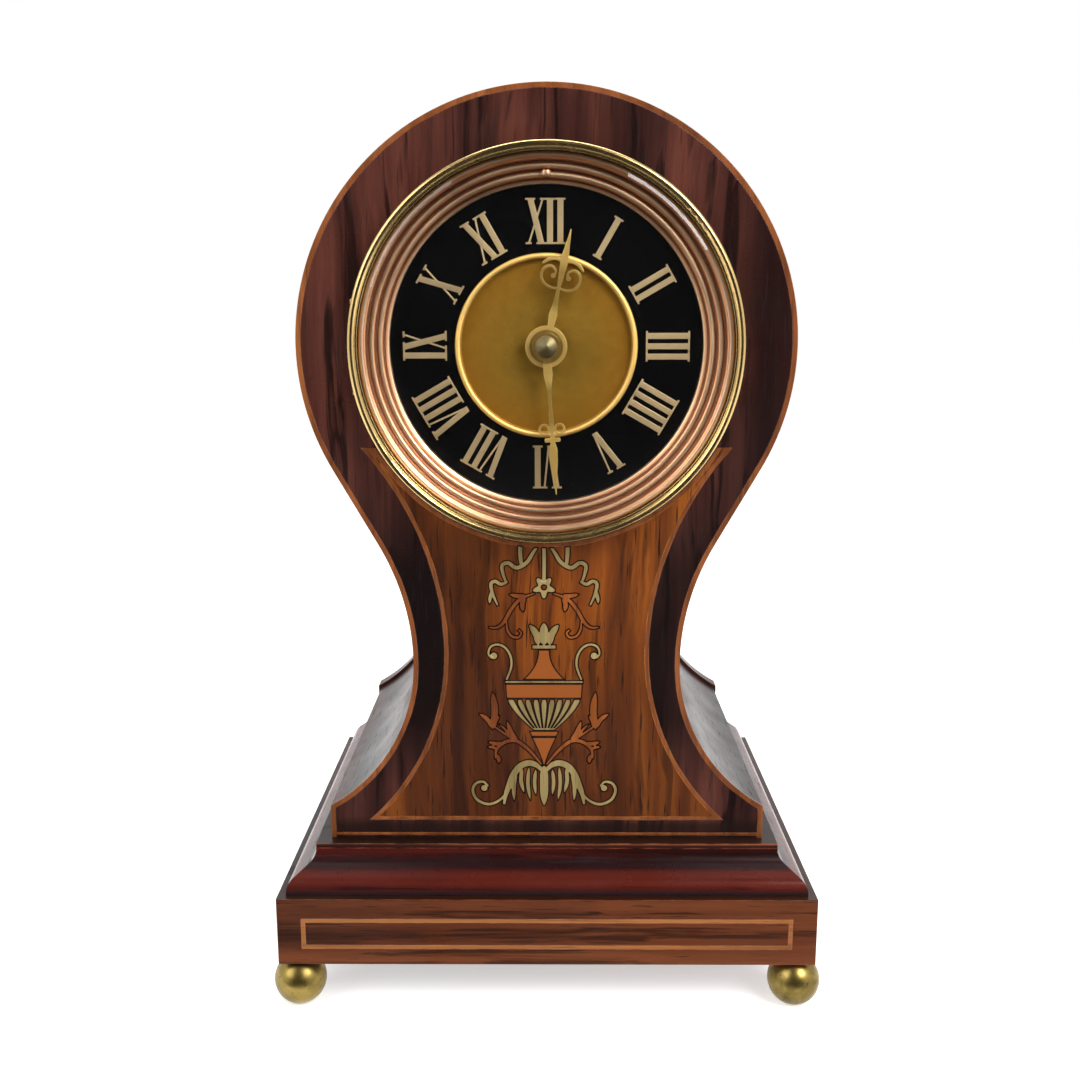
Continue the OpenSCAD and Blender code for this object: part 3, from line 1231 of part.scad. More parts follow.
base_block();
base_stringing();
base_moulding();
step_board();
ball_feet();
front_board();
case_sides();
back_board();
front_veneer();
edge_banding();
waist_panel();
waist_stringing();
marquetry_ribbons();
marquetry_branches();
marquetry_urn();
marquetry_acanthus();
mounting_ring();
sight_ring();
dial_plate();
dial_numerals();
dial_centre();
bezel_ring();
bezel_glass();
bezel_catch();
bezel_hinge_pin();
door_ring();
back_door();
door_knob();
door_hinge_pin();
hour_hand();
minute_hand();
hand_nut();
drum();
drum_cover();
drum_brackets();
small_screws();
front_plate();
back_plate();
plate_pillars();
centre_arbor();
cannon_pinion();
minute_wheel();
hour_wheel();
setting_knob();
barrel();
mainspring();
winding_arbor();
ratchet_wheel();
winding_key();
click();
click_spring();
intermediate_wheel();
centre_wheel();
third_wheel();
fourth_wheel();
escape_wheel();
lever();
balance_wheel();
balance_cock();
regulator();
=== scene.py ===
"""Looks of the balloon mantel clock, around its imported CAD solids."""
import math

import bmesh
import bpy
from mathutils import Matrix, Vector


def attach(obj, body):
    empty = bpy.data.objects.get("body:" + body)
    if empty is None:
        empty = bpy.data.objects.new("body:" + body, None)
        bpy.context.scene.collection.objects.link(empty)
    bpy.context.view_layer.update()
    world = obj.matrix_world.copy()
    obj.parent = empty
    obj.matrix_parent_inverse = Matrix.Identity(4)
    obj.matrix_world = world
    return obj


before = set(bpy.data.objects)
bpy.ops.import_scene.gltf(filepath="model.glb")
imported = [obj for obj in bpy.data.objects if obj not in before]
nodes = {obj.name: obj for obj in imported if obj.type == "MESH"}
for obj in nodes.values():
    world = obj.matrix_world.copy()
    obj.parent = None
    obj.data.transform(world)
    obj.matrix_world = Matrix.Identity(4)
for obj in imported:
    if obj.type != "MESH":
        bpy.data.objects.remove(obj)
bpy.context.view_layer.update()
scene = bpy.context.scene

# Places on the clock, in metres
FRONT = -0.0583  # the face of the veneer
DIAL_Z = 0.2088  # the dial's middle
CASE_Z = 0.0518  # the foot of the case
AXIS = (0.0, DIAL_Z)

# Features of a wood's noise per metre across its grain
BANDS, STREAKS, FIBRES, PORES = 95, 230, 620, 1500
# How much the noise is drawn out along the grain
ALONG = 0.035
GRAIN = {"z": (1, 1, ALONG), "x": (ALONG, 1, 1), "y": (1, ALONG, 1), "xy": (ALONG, ALONG, 1)}
# Features of a metal's noise per metre: tarnish, specks, turned rings and polishing lines
TARNISH, SPECKS, RINGS, POLISH = 60, 900, 9000, 2600


def lin(rgb):
    """A colour written as 0 to 255 values, as the shader's linear colour."""
    out = []
    for v in rgb:
        v /= 255
        out.append(v / 12.92 if v <= 0.04045 else ((v + 0.055) / 1.055) ** 2.4)
    return (*out, 1)


def scaled(rgb, by, plus=0):
    """A 0 to 255 colour made darker or lighter, as the shader's linear colour."""
    return lin([min(255, c * by + plus) for c in rgb])


class Nodes:
    """Short names for the nodes of one shader tree."""

    def __init__(self, owner):
        owner.use_nodes = True
        self.tree = owner.node_tree

    def plug(self, socket, v):
        if isinstance(v, bpy.types.NodeSocket):
            self.tree.links.new(v, socket)
        else:
            socket.default_value = v

    def add(self, kind, out=0, props=None, **ins):
        """A new node's output. An input is named, with _ for a space, or numbered as i0, i1 and so on."""
        n = self.tree.nodes.new("ShaderNode" + kind)
        for k, v in (props or {}).items():
            setattr(n, k, v)
        for k, v in ins.items():
            numbered = k[0] == "i" and k[1:].isdigit()
            self.plug(n.inputs[int(k[1:]) if numbered else k.replace("_", " ")], v)
        return n.outputs[out]

    def math(self, op, a, b=0.0):
        return self.add("Math", 0, {"operation": op}, i0=a, i1=b)

    def times(self, a, b):
        return self.math("MULTIPLY", a, b)

    def pick(self, fac, first, second):
        """The first shader where fac is 0, and the second where it is 1."""
        return self.add("MixShader", i0=fac, i1=first, i2=second)

    def seen(self):
        """1 for a ray that the picture sees, straight, in gloss or through glass."""
        path = self.tree.nodes.new("ShaderNodeLightPath").outputs
        mirrored = self.math("MAXIMUM", path["Is Glossy Ray"], path["Is Transmission Ray"])
        return self.math("MAXIMUM", path["Is Camera Ray"], mirrored)


class Mat(Nodes):
    """A material with one Principled shader."""

    def __init__(self, name, **values):
        self.mat = bpy.data.materials.new(name)
        super().__init__(self.mat)
        self.bsdf = self.tree.nodes["Principled BSDF"]
        self.out = self.tree.nodes["Material Output"]
        self.coord = self.tree.nodes.new("ShaderNodeTexCoord").outputs["Object"]
        self.set(**values)

    def set(self, **values):
        for name, v in values.items():
            self.plug(self.bsdf.inputs[name.replace("_", " ")], v)

    def surface(self, shader):
        self.plug(self.out.inputs["Surface"], shader)

    def mix(self, fac, a, b):
        return self.add("Mix", 2, {"data_type": "RGBA"}, i0=fac, i6=a, i7=b)

    def tint(self, fac, col, rgb):
        """The colour col, and rgb in its place where fac is 1."""
        return self.mix(fac, col, lin(rgb))

    def place(self, scale=(1, 1, 1), turn=(0, 0, 0), move=(0, 0, 0)):
        return self.add("Mapping", Vector=self.coord, Scale=scale, Rotation=turn, Location=move)

    def noise(self, vec, scale, detail=4.0, rough=0.5, twist=0.0):
        return self.add("TexNoise", Vector=vec, Scale=scale, Detail=detail, Roughness=rough, Distortion=twist)

    def ramp(self, fac, *stops):
        n = self.tree.nodes.new("ShaderNodeValToRGB")
        while len(n.color_ramp.elements) < len(stops):
            n.color_ramp.elements.new(0.5)
        for e, (at, c) in zip(n.color_ramp.elements, stops):
            e.position = at
            e.color = c if isinstance(c, tuple) else (c, c, c, 1)
        self.plug(n.inputs[0], fac)
        return n.outputs[0]

    def range(self, v, a, b, c=0.0, d=1.0):
        """c where v is a, d where it is b, and straight between them."""
        return self.add("MapRange", i0=v, i1=a, i2=b, i3=c, i4=d)

    def xyz(self, vec=None):
        n = self.tree.nodes.new("ShaderNodeSeparateXYZ")
        self.plug(n.inputs[0], vec or self.coord)
        return n.outputs

    def radius(self, x, z):
        return self.math("SQRT", self.math("ADD", self.times(x, x), self.times(z, z)))

    def edge(self, radius=0.0004):
        """How sharp the edge near a point is, for wear, and the rounded normal."""
        round_n = self.add("Bevel", props={"samples": 4}, Radius=radius)
        flat_n = self.add("NewGeometry", "Normal")
        dot = self.add("VectorMath", "Value", {"operation": "DOT_PRODUCT"}, i0=round_n, i1=flat_n)
        return self.range(dot, 0.999, 0.86), round_n

    def bump(self, height, strength, distance, normal=None):
        ins = {"Height": height, "Strength": strength, "Distance": distance}
        if normal is not None:
            ins["Normal"] = normal
        return self.add("Bump", **ins)


def wood(name, base, dark, light, grain="z", figure=0.5, gloss=0.3, coat=0.3, tone=None, seed=0.0, pores=0.7,
         streak=0.15, wear=0.5):
    """Polished wood: bands of early and late growth, dark streaks, pores and a shellac coat with fine marks."""
    m = Mat(name, Coat_Weight=coat, Coat_Roughness=0.12, Coat_IOR=1.5, Specular_IOR_Level=0.15)
    stretched = m.place(scale=GRAIN[grain], move=(seed, seed * 0.7, seed * 0.3))
    wob = m.noise(m.place(move=(seed, 0, seed)), 14, 3)
    sway = 0.010 * figure
    v = m.add("VectorMath", 0, {"operation": "MULTIPLY_ADD"}, i0=m.add("CombineXYZ", X=wob, Y=wob, Z=wob),
              i1=(sway, sway, 0.0), i2=stretched)
    bands = m.noise(v, BANDS, 5, 0.55)
    fibres = m.noise(v, FIBRES, 4, 0.6)
    streaks = m.ramp(m.noise(v, STREAKS, 3, 0.62, 0.4), (0.54, 0.0), (0.63, 1.0))
    drawn = tuple(g if g == 1 else g * 1.6 for g in GRAIN[grain])
    pore = m.ramp(m.noise(m.place(scale=drawn), PORES, 2, 0.5), (0.62, 0.0), (0.70, 1.0))

    col = m.ramp(bands, (0.32, lin(dark)), (0.5, lin(base)), (0.68, lin(light)))
    col = m.mix(m.range(fibres, 0.4, 0.75, 0, 0.35), col, scaled(base, 0.62))
    col = m.mix(m.times(streaks, streak), col, scaled(dark, 0.42))
    col = m.mix(m.times(pore, 0.55 * pores), col, scaled(dark, 0.3))
    if tone:
        col = tone(m, col)
    sharp, normal = m.edge()
    worn = m.times(sharp, m.ramp(m.noise(m.coord, 160, 4), (0.38, 0.0), (0.62, 1.0)))
    col = m.mix(m.times(worn, wear), col, scaled(light, 1.55, 18))

    dust = m.noise(m.coord, 45, 5, 0.6)
    rough = m.math("ADD", m.range(dust, 0.3, 0.75, gloss, gloss + 0.2), m.times(pore, 0.25))
    height = m.math("SUBTRACT", m.times(fibres, 0.25), pore)
    m.set(Base_Color=col, Roughness=rough, Normal=m.bump(height, 0.35, 0.00006, normal))
    m.set(Coat_Normal=m.bump(m.noise(m.coord, 60, 3), 0.25, 0.0004, normal))
    return m


def metal(name, base, dark, gloss, tarnish, lathe=None, lines=0.3, seed=0.0, wear=0.5, spots=0.4, tone=None,
          edge_r=0.00025):
    """Old lacquered metal: tarnish in patches, fine polishing or turning lines, bright worn edges and specks.

    lathe is the x and z of the axis it was turned on, if it was. With edge_r 0 its edges are left sharp.
    """
    m = Mat(name, Metallic=1.0)
    v = m.place(move=(seed, seed, seed))
    patch = m.noise(v, TARNISH, 6, 0.62, 0.5)
    speck = m.ramp(m.noise(v, SPECKS, 3, 0.6), (0.64, 0.0), (0.74, 1.0))
    col = m.tint(m.range(patch, 0.42, 0.72, 0, tarnish), lin(base), dark)
    col = m.mix(m.times(speck, spots), col, scaled(dark, 0.6))
    normal = None
    if edge_r:
        sharp, normal = m.edge(edge_r)
        col = m.mix(m.times(sharp, wear), col, scaled(base, 1.12, 12))
    if lathe:
        x, y, z = m.xyz(m.place(move=(-lathe[0], 0, -lathe[1])))
        r = m.radius(x, z)
        marks = m.noise(m.add("CombineXYZ", X=r, Y=y, Z=0.0), RINGS, 2, 0.7)
        if tone:
            col = tone(m, col, r)
    else:
        brushed = m.place(scale=(1, 0.06, 0.5), turn=(0.3, 0.2, 0.5), move=(seed, 0, 0))
        marks = m.noise(brushed, POLISH, 3, 0.6)
    rough = m.math("ADD", m.range(patch, 0.3, 0.75, gloss, gloss + 0.2), m.times(marks, lines * 0.3))
    m.set(Base_Color=col, Roughness=rough, Normal=m.bump(marks, lines, 0.000006, normal))
    return m


def give(mat, *names):
    """Puts a material on CAD nodes, in place of the plain one they were packed with."""
    for name in names:
        slots = nodes[name].data.materials
        slots.clear()
        slots.append(mat.mat)


# Tones: where a wood or a metal is darker, paler or redder, some of them painted highlights and shade. A pair of
# lengths is where a change starts and ends.
def flank_tone(m, col):
    """The narrow flanks beside the waist panel are nearly black and the head is red-brown, with painted shade on
    the head's right side; the veneer is also darker just above the step.
    """
    foot, head, right_shade_edge, right_shade_foot, above_step = (
        (0.070, 0.092), (0.172, 0.140), (0.045, 0.066), (0.14, 0.17), (0.0592, 0.0562))
    x, _, z = m.xyz()
    patchy = m.noise(m.place(scale=(1, 1, 0.3)), 30, 4)
    band = m.times(m.range(z, *foot), m.range(z, *head))
    col = m.tint(m.times(band, m.range(patchy, 0.30, 0.62, 0.45, 0.97)), col, (12, 8, 8))
    broad = m.noise(m.place(scale=(1, 1, 0.25), move=(0.4, 0, 0)), 26, 2)
    # Painted shade on the right side of the head, joined with broad random dark patches
    right = m.times(m.range(x, *right_shade_edge), m.range(z, *right_shade_foot))
    dark = m.math("MAXIMUM", right, m.range(broad, 0.56, 0.70, 0, 0.8))
    col = m.tint(m.times(dark, 0.85), col, (26, 12, 12))
    return m.tint(m.range(z, *above_step, 0, 0.8), col, (30, 17, 14))


def panel_tone(m, col):
    """A painted glow of orange light in the middle of the waist panel, mottled by cloudy figure, and painted shade
    at its sides and top.
    """
    middle, glow_edge, dark_edge = (0.002, 0, -0.112), (0.040, 0.008), (0.036, 0.060)
    x, _, z = m.xyz(m.place(move=middle, scale=(1, 0, 0.62)))
    r = m.radius(x, z)
    cloud = m.noise(m.place(scale=(1, 1, 0.5)), 34, 4, 0.55)
    # Painted light: a mottled orange glow in the middle of the panel
    glow = m.times(m.range(r, *glow_edge), m.range(cloud, 0.35, 0.7))
    col = m.tint(m.times(glow, 0.75), col, (180, 92, 12))
    # Painted shade towards the panel's sides and top
    return m.tint(m.range(r, *dark_edge, 0, 0.45), col, (52, 24, 14))


def moulding_tone(m, col):
    """Painted reflections: a mottled red highlight on the round of the ogee, and painted near-black shade in its
    hollow and at its foot.
    """
    round_foot, round_top = (0.0403, 0.0418), (0.0448, 0.0436)
    hollow_foot, hollow_top, foot = (0.0444, 0.0452), (0.0478, 0.0470), (0.0404, 0.0392)
    z = m.xyz()[2]
    cloud = m.noise(m.place(scale=(0.5, 1, 1)), 90, 4, 0.6)
    # Painted highlight, not wear: the worn mask paints a mottled red band on the round of the ogee
    worn = m.times(m.range(z, *round_foot), m.range(z, *round_top))
    col = m.tint(m.times(worn, m.range(cloud, 0.35, 0.65, 0.35, 0.9)), col, (84, 27, 16))
    # Painted shade in the hollow of the ogee
    hollow = m.times(m.range(z, *hollow_foot), m.range(z, *hollow_top))
    col = m.tint(m.times(hollow, 0.8), col, (30, 16, 18))
    # Painted shade along the foot of the ogee, next to the block
    return m.tint(m.range(z, *foot, 0, 0.85), col, (42, 28, 30))


def block_tone(m, col):
    """Painted shade darkens the ledge on top of the block."""
    ledge = (0.03806, 0.03816)
    z = m.xyz()[2]
    # Painted shade: a thin dark line along the block's top ledge
    return m.tint(m.range(z, *ledge, 0, 0.8), col, (26, 15, 12))


def step_tone(m, col):
    """The step's upper edge is rubbed pale, its front is red-brown below that, and its top is painted nearly black
    as shade.
    """
    below_edge, facing_up = (0.0513, 0.0511), 0.7
    z = m.xyz()[2]
    top = m.math("GREATER_THAN", m.xyz(m.add("NewGeometry", "Normal"))[2], facing_up)
    col = m.tint(m.range(z, *below_edge, 0, 0.9), col, (44, 14, 12))
    # Painted shade: every face of the step that looks up is darkened nearly to black
    return m.tint(m.times(top, 0.9), col, (22, 14, 12))


def urn_tone(m, col):
    """Neck, band and foot of the urn are orange; its rail, bowl, handles and finial are cream."""
    neck_from, neck_to, neck_half, band_from, band_to, foot_to = 0.0533, 0.0632, 0.0080, 0.0471, 0.0520, 0.0365
    x, _, z = m.xyz(m.place(move=(0.0008, 0, -CASE_Z)))
    across = m.math("ABSOLUTE", x)
    neck = m.times(m.math("GREATER_THAN", z, neck_from), m.math("LESS_THAN", across, neck_half))
    neck = m.times(neck, m.math("LESS_THAN", z, neck_to))
    band = m.times(m.math("GREATER_THAN", z, band_from), m.math("LESS_THAN", z, band_to))
    foot = m.math("LESS_THAN", z, foot_to)
    return m.tint(m.math("MAXIMUM", m.math("MAXIMUM", neck, band), foot), col, (138, 73, 24))


def reed_tone(m, col, r):
    """Painted highlights along the crests of the sight ring's reeds, and painted shade in the grooves between them.
    """
    first_reed, half_pitch, crest, groove = 0.04905, 0.001225, (0.0006, 0.0), (0.0007, 0.0012)
    off = m.math("PINGPONG", m.math("SUBTRACT", r, first_reed), half_pitch)
    # Painted highlight: a bright cream line along each reed
    col = m.tint(m.range(off, *crest, 0, 0.9), col, (255, 226, 186))
    # Painted shade in the grooves between the reeds
    return m.tint(m.range(off, *groove, 0, 0.95), col, (84, 40, 24))


def boss_tone(m, col, r):
    """Painted shade makes the hour hand's flat boss look like a bright ring round a hollow, and painted shade dims
    both hands half way along.
    """
    hollow_in, hollow_out, dim_in, dim_out = (0.0030, 0.0034), (0.0052, 0.0047), (0.010, 0.013), (0.026, 0.022)
    # Painted shade: a dark ring between the boss's rim and the nut, where the boss is flat
    hollow = m.times(m.range(r, *hollow_in), m.range(r, *hollow_out))
    col = m.tint(m.times(hollow, 0.8), col, (120, 90, 38))
    # Painted shade half way along both hands, which stay bright near the nut
    painted_dim = m.times(m.range(r, *dim_in), m.range(r, *dim_out))
    return m.tint(m.times(painted_dim, 0.6), col, (118, 90, 40))


def rim_tone(m, col, r):
    """The bead round the dial's centre is brighter, and the plate warms towards it."""
    warm, bead = (0.012, 0.0255), (0.0254, 0.0259)
    col = m.tint(m.range(r, *warm, 0, 0.55), col, (158, 104, 28))
    return m.tint(m.range(r, *bead), col, (246, 206, 122))


# Woods: name, then the middle, dark and light colour
rosewood = wood("rosewood_front", (74, 38, 31), (34, 16, 14), (102, 56, 44), figure=1.2, gloss=0.22, coat=0.4,
                tone=flank_tone, seed=0.0, pores=0.8, streak=0.8)
panel = wood("rosewood_panel", (114, 55, 8), (52, 22, 8), (160, 86, 16), figure=1.0, gloss=0.28, coat=0.35,
             tone=panel_tone, seed=0.31, pores=1.6, streak=0.55)
block = wood("rosewood_block", (98, 49, 25), (56, 26, 14), (118, 63, 33), "xy", figure=0.8, gloss=0.26,
             tone=block_tone, seed=0.17, pores=1.0, streak=0.7)
mahogany = wood("mahogany_red", (70, 20, 15), (32, 10, 9), (100, 32, 20), "xy", figure=0.7, gloss=0.2, coat=0.4,
                tone=moulding_tone, seed=0.53, pores=0.5, streak=0.6)
sides = wood("mahogany_sides", (52, 25, 20), (28, 14, 12), (74, 38, 28), "y", figure=0.8, coat=0.25,
             seed=0.77, pores=0.6, streak=0.5)
back = wood("mahogany_back", (56, 27, 20), (30, 15, 12), (78, 40, 29), figure=0.8, coat=0.25,
            seed=0.11, pores=0.8, streak=0.5)
step = wood("step_wood", (66, 30, 20), (32, 14, 11), (128, 68, 40), "xy", figure=0.6,
            tone=step_tone, seed=0.91, pores=1.0, streak=0.5, wear=0.8)
string = wood("string_wood", (126, 68, 30), (84, 44, 20), (146, 86, 44), figure=0.4, coat=0.35,
              seed=0.23, streak=0.25, wear=0.25)
string_x = wood("string_wood_flat", (148, 90, 46), (104, 58, 28), (166, 106, 58), "x", figure=0.4, coat=0.35,
                seed=0.29, streak=0.25, wear=0.25)
CREAM = (144, 124, 78), (104, 84, 46), (164, 144, 98)
cream = wood("inlay_cream", *CREAM, gloss=0.35, seed=0.37, pores=0.6)
orange = wood("inlay_orange", (138, 72, 24), (96, 44, 16), (160, 90, 38), gloss=0.32, seed=0.43)
urn = wood("inlay_urn", *CREAM, gloss=0.33, tone=urn_tone, seed=0.41, pores=0.6)
glue = wood("inlay_line", (38, 20, 14), (24, 14, 10), (50, 28, 18), gloss=0.5, coat=0.0,
            seed=0.47, pores=0.3, streak=0.1)

# Metals: name, clean and tarnished colour, smallest roughness and how much is tarnished
bezel_brass = metal("brass_bezel", (222, 190, 128), (150, 118, 66), 0.10, 0.4, AXIS, seed=0.1)
copper = metal("brass_copper", (226, 164, 122), (156, 98, 66), 0.30, 0.3, AXIS, lines=0.02, seed=0.2, wear=0.3,
               spots=0.15, tone=reed_tone, edge_r=0)
door_brass = metal("brass_door", (198, 164, 98), (132, 102, 54), 0.2, 0.45, AXIS, lines=0.35, seed=0.35)
brass = metal("brass_plain", (206, 170, 100), (140, 108, 56), 0.2, 0.5, seed=0.3)
feet_brass = metal("brass_feet", (160, 138, 76), (58, 48, 24), 0.2, 0.95, lines=0.35, seed=0.4, wear=0.6, spots=0.9)
gilt = metal("gilt_hands", (236, 196, 112), (168, 130, 64), 0.34, 0.4, AXIS, lines=0.15, seed=0.5, wear=0.9,
             spots=0.3, tone=boss_tone)
gilt_dial = metal("gilt_dial", (152, 116, 42), (98, 72, 25), 0.42, 0.55, AXIS, lines=0.5, seed=0.6, spots=0.5,
                  tone=rim_tone)
numeral = metal("gilt_numerals", (212, 186, 142), (154, 126, 84), 0.38, 0.35, lines=0.1, seed=0.7, wear=0.3,
                spots=0.3)
movement = metal("brass_movement", (210, 178, 108), (150, 120, 66), 0.22, 0.35, seed=0.8)
steel = metal("steel_parts", (168, 166, 156), (96, 92, 82), 0.22, 0.4, seed=0.9)
nut_steel = metal("steel_nut", (122, 110, 78), (74, 66, 44), 0.36, 0.5, AXIS, lines=0.4, seed=0.95)
blue = metal("blued_spring", (52, 62, 104), (36, 34, 52), 0.25, 0.4, lines=0.2, seed=0.15)


def black_lacquer():
    """The dial's black: glossy, hazed in patches, with a few pale specks."""
    m = Mat("dial_black", Coat_Weight=0.3, Coat_Roughness=0.04, Specular_IOR_Level=0.25)
    haze = m.noise(m.coord, 70, 5, 0.6)
    speck = m.ramp(m.noise(m.coord, 1400, 2, 0.5), (0.7, 0.0), (0.76, 1.0))
    m.set(Base_Color=m.tint(m.times(speck, 0.5), lin((3, 3, 4)), (46, 42, 38)),
          Roughness=m.range(haze, 0.3, 0.8, 0.12, 0.24),
          Normal=m.bump(m.noise(m.coord, 500, 3), 0.08, 0.00003))
    return m


def old_glass():
    """Slightly wavy glass with faint smears. It casts no shadow, so the dial behind it is lit."""
    m = Mat("bezel_glass", Transmission_Weight=1.0, IOR=1.5, Base_Color=(0.97, 0.985, 0.98, 1))
    smear = m.noise(m.place(scale=(1, 1, 0.6)), 55, 5, 0.6)
    m.set(Roughness=m.range(smear, 0.45, 0.8, 0.0, 0.05),
          Normal=m.bump(m.noise(m.coord, 22, 2), 0.06, 0.0004))
    m.surface(m.pick(m.add("LightPath", "Is Shadow Ray"), m.bsdf.outputs[0], m.add("BsdfTransparent")))
    return m


give(rosewood, "front_veneer")
give(panel, "waist_panel")
give(block, "base_block")
give(mahogany, "base_moulding")
give(sides, "case_sides", "front_board")
give(back, "back_board")
give(step, "step_board")
give(string, "edge_banding", "waist_stringing")
give(string_x, "base_stringing")
give(cream, "marquetry_ribbons", "marquetry_acanthus")
give(orange, "marquetry_branches")
give(urn, "marquetry_urn")
give(bezel_brass, "bezel_ring", "mounting_ring", "bezel_catch", "bezel_hinge_pin")
give(copper, "sight_ring")
give(feet_brass, "ball_feet")
give(gilt, "hour_hand", "minute_hand")
give(gilt_dial, "dial_centre")
give(numeral, "dial_numerals")
give(black_lacquer(), "dial_plate")
give(old_glass(), "bezel_glass")
give(nut_steel, "hand_nut")
give(door_brass, "door_ring", "back_door", "drum_cover")
give(brass, "door_knob", "door_hinge_pin", "drum", "drum_brackets", "setting_knob", "winding_key")
give(movement, "front_plate", "back_plate", "plate_pillars", "cannon_pinion", "minute_wheel", "hour_wheel",
     "barrel", "intermediate_wheel", "centre_wheel", "third_wheel", "fourth_wheel", "escape_wheel",
     "balance_wheel", "balance_cock")
give(steel, "small_screws", "centre_arbor", "winding_arbor", "ratchet_wheel", "click", "click_spring", "lever",
     "regulator")
give(blue, "mainspring")


def rim_lines(name, sources, width, body):
    """Thin dark glue lines round the marquetry, as strips along the rims of the inlaid pieces."""
    bm = bmesh.new()
    lift, near, shortest, overlap = 0.00003, 2e-5, 1e-7, 0.35
    for source in sources:
        src = bmesh.new()
        src.from_mesh(nodes[source].data)
        bmesh.ops.remove_doubles(src, verts=src.verts, dist=shortest)
        for e in src.edges:
            a, b = (v.co for v in e.verts)
            if abs(a.y - FRONT) > near or abs(b.y - FRONT) > near or len(e.link_faces) != 2:
                continue
            # A rim lies between a face that looks forward and one that doesn't
            ny = sorted(abs(f.normal.y) for f in e.link_faces)
            if ny[0] > 0.5 or ny[1] < 0.5:
                continue
            d = b - a
            if d.length < shortest:
                continue
            d.normalize()
            s = Vector((d.z, 0, -d.x)) * width / 2
            d *= width * overlap
            quad = [Vector((p.x, FRONT - lift, p.z)) for p in (a - d + s, b + d + s, b + d - s, a - d - s)]
            bm.faces.new([bm.verts.new(p) for p in quad])
        src.free()
    mesh = bpy.data.meshes.new(name)
    bm.to_mesh(mesh)
    bm.free()
    o = bpy.data.objects.new(name, mesh)
    scene.collection.objects.link(o)
    mesh.materials.append(glue.mat)
    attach(o, body)
    return o


INLAID = ["marquetry_ribbons", "marquetry_branches", "marquetry_urn", "marquetry_acanthus"]
rim_lines("marquetry_lines", INLAID, 0.0004, "case")


def aim(place, pitch, yaw, roll):
    """A camera's matrix from its place and its angles in degrees. A positive pitch looks down."""
    pitch, yaw, roll = math.radians(pitch), math.radians(yaw), math.radians(roll)
    ahead = Vector((math.sin(yaw) * math.cos(pitch), math.cos(yaw) * math.cos(pitch), -math.sin(pitch)))
    level = ahead.cross(Vector((0, 0, 1))).normalized()
    upright = level.cross(ahead)
    right = math.cos(roll) * level + math.sin(roll) * upright
    up = -math.sin(roll) * level + math.cos(roll) * upright
    m = Matrix((right, up, -ahead)).transposed().to_4x4()
    m.translation = place
    return m


# The camera stands where the photograph's did, a little above the dial and looking down at it
camera = bpy.data.objects.new("camera", bpy.data.cameras.new("camera"))
camera.data.sensor_width = 36
camera.data.lens = 40.0
camera.matrix_world = aim(Vector((0.000699, -0.420013, 0.222727)), 11.36, -0.424, -0.103)
camera.data.clip_start = 0.01
scene.collection.objects.link(camera)
scene.camera = camera
scene.view_settings.view_transform = "Standard"


def lamp(name, place, target, size, power):
    """A square lamp of the given side in metres and power in watts, turned to its target."""
    d = bpy.data.lights.new(name, "AREA")
    d.shape = "RECTANGLE"
    d.size = size
    d.size_y = size
    d.energy = power
    o = bpy.data.objects.new(name, d)
    o.location = place
    o.rotation_euler = (Vector(target) - Vector(place)).to_track_quat("-Z", "Y").to_euler()
    scene.collection.objects.link(o)


lamp("key", (0.60, -0.70, 0.80), (0, 0, 0.16), 0.5, 9)
lamp("fill", (-0.75, -0.65, 0.75), (0, 0, 0.15), 0.7, 5)
lamp("top", (0.0, 0.25, 1.0), (0, 0, 0.15), 0.7, 6)


def white_room():
    """White all round where the picture sees it, and about half as bright as a light."""
    world = bpy.data.worlds.new("studio")
    scene.world = world
    w = Nodes(world)
    w.tree.nodes.clear()
    white = (1, 1, 1, 1)
    out = w.tree.nodes.new("ShaderNodeOutputWorld")
    as_light = w.add("Background", Color=white, Strength=0.55)
    as_backdrop = w.add("Background", Color=white, Strength=1.0)
    w.plug(out.inputs["Surface"], w.pick(w.seen(), as_light, as_backdrop))


white_room()


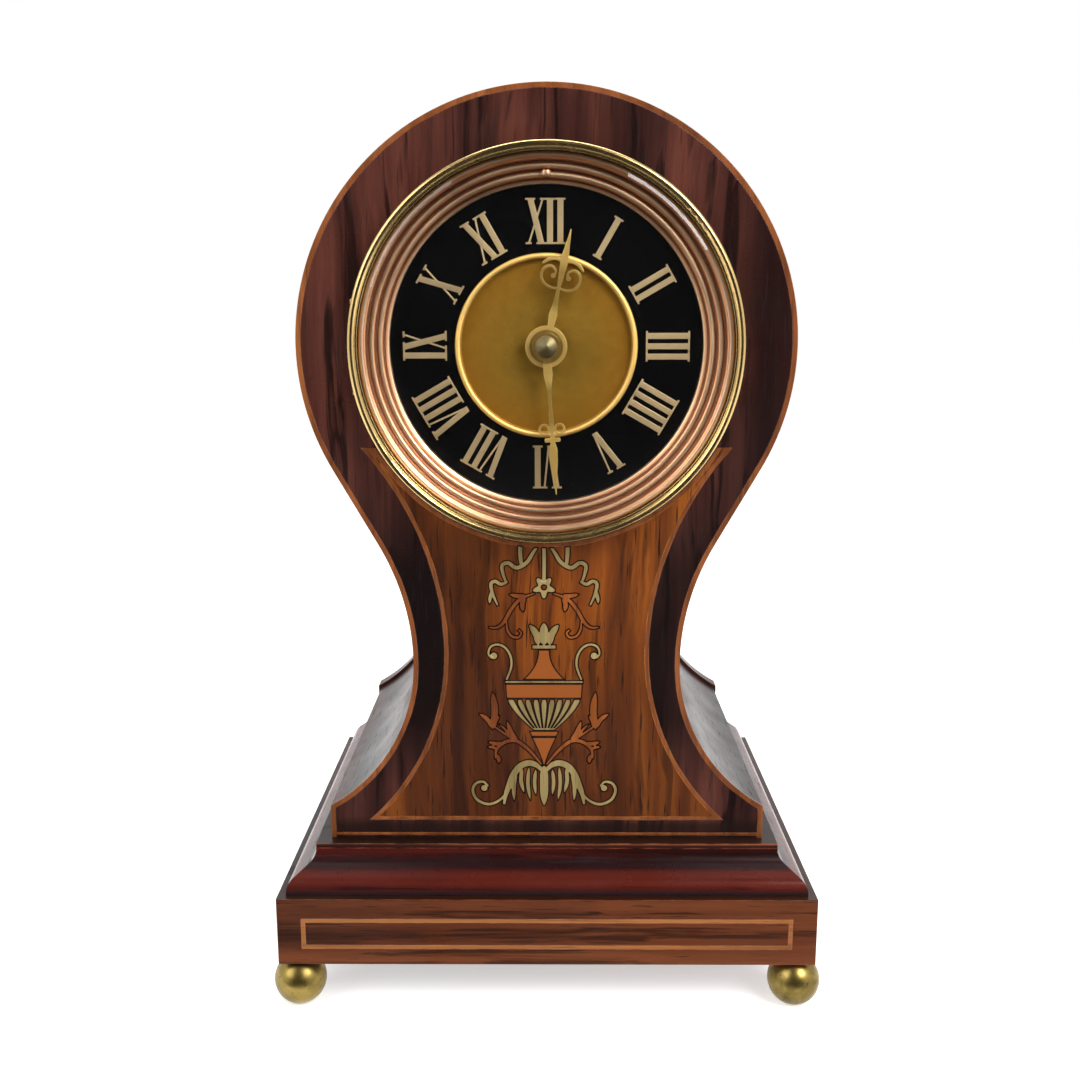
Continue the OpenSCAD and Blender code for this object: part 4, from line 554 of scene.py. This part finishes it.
def sheet(name, corners, mat):
    """A flat sheet that belongs to the photograph's setting and not to the clock."""
    mesh = bpy.data.meshes.new(name)
    mesh.from_pydata(corners, [], [tuple(range(len(corners)))])
    o = bpy.data.objects.new(name, mesh)
    mesh.materials.append(mat.mat)
    scene.collection.objects.link(o)
    return o


def paper():
    """White paper with a glow that only the picture sees, so that the floor fades into the backdrop."""
    m = Mat("floor_paper", Roughness=0.9, Base_Color=(0.9, 0.9, 0.9, 1), Specular_IOR_Level=0.1)
    plain = m.bsdf.outputs[0]
    m.surface(m.pick(m.seen(), plain, m.add("AddShader", i0=plain, i1=m.add("Emission", Strength=0.5))))
    return m


def dark_card():
    """A dark card that lets rays straight through the bezel's glass pass."""
    m = Mat("dark_card", Roughness=0.9, Base_Color=(0.014, 0.012, 0.011, 1))
    ray = m.tree.nodes.new("ShaderNodeLightPath").outputs
    straight = m.times(ray["Is Transmission Ray"], m.math("LESS_THAN", ray["Glossy Depth"], 0.5))
    m.surface(m.pick(straight, m.bsdf.outputs[0], m.add("BsdfTransparent")))
    return m


FLOOR_HALF = 6
sheet("floor", [(x * FLOOR_HALF, y * FLOOR_HALF, 0) for x, y in ((-1, -1), (1, -1), (1, 1), (-1, 1))], paper())

# Dark cards in front of the clock, seen only in its gloss, as the dim room was in the photograph
CARD_HALF, CARD_Y, CARD_TOP, TABLE_Z = 1.3, -1.7, 1.4, 0.002
CARDS = {
    "dark_wall": [(-CARD_HALF, CARD_Y, 0), (CARD_HALF, CARD_Y, 0),
                  (CARD_HALF, CARD_Y, CARD_TOP), (-CARD_HALF, CARD_Y, CARD_TOP)],
    "dark_roof": [(-CARD_HALF, CARD_Y, CARD_TOP), (CARD_HALF, CARD_Y, CARD_TOP),
                  (0.9, -0.1, CARD_TOP), (-0.9, -0.1, CARD_TOP)],
    "dark_table": [(-0.9, CARD_Y, TABLE_Z), (0.9, CARD_Y, TABLE_Z),
                   (0.3, -0.095, TABLE_Z), (-0.3, -0.095, TABLE_Z)],
}
card = dark_card()
for name, corners in CARDS.items():
    flag = sheet(name, corners, card)
    flag.visible_camera = False
    flag.visible_diffuse = False
    flag.visible_shadow = False
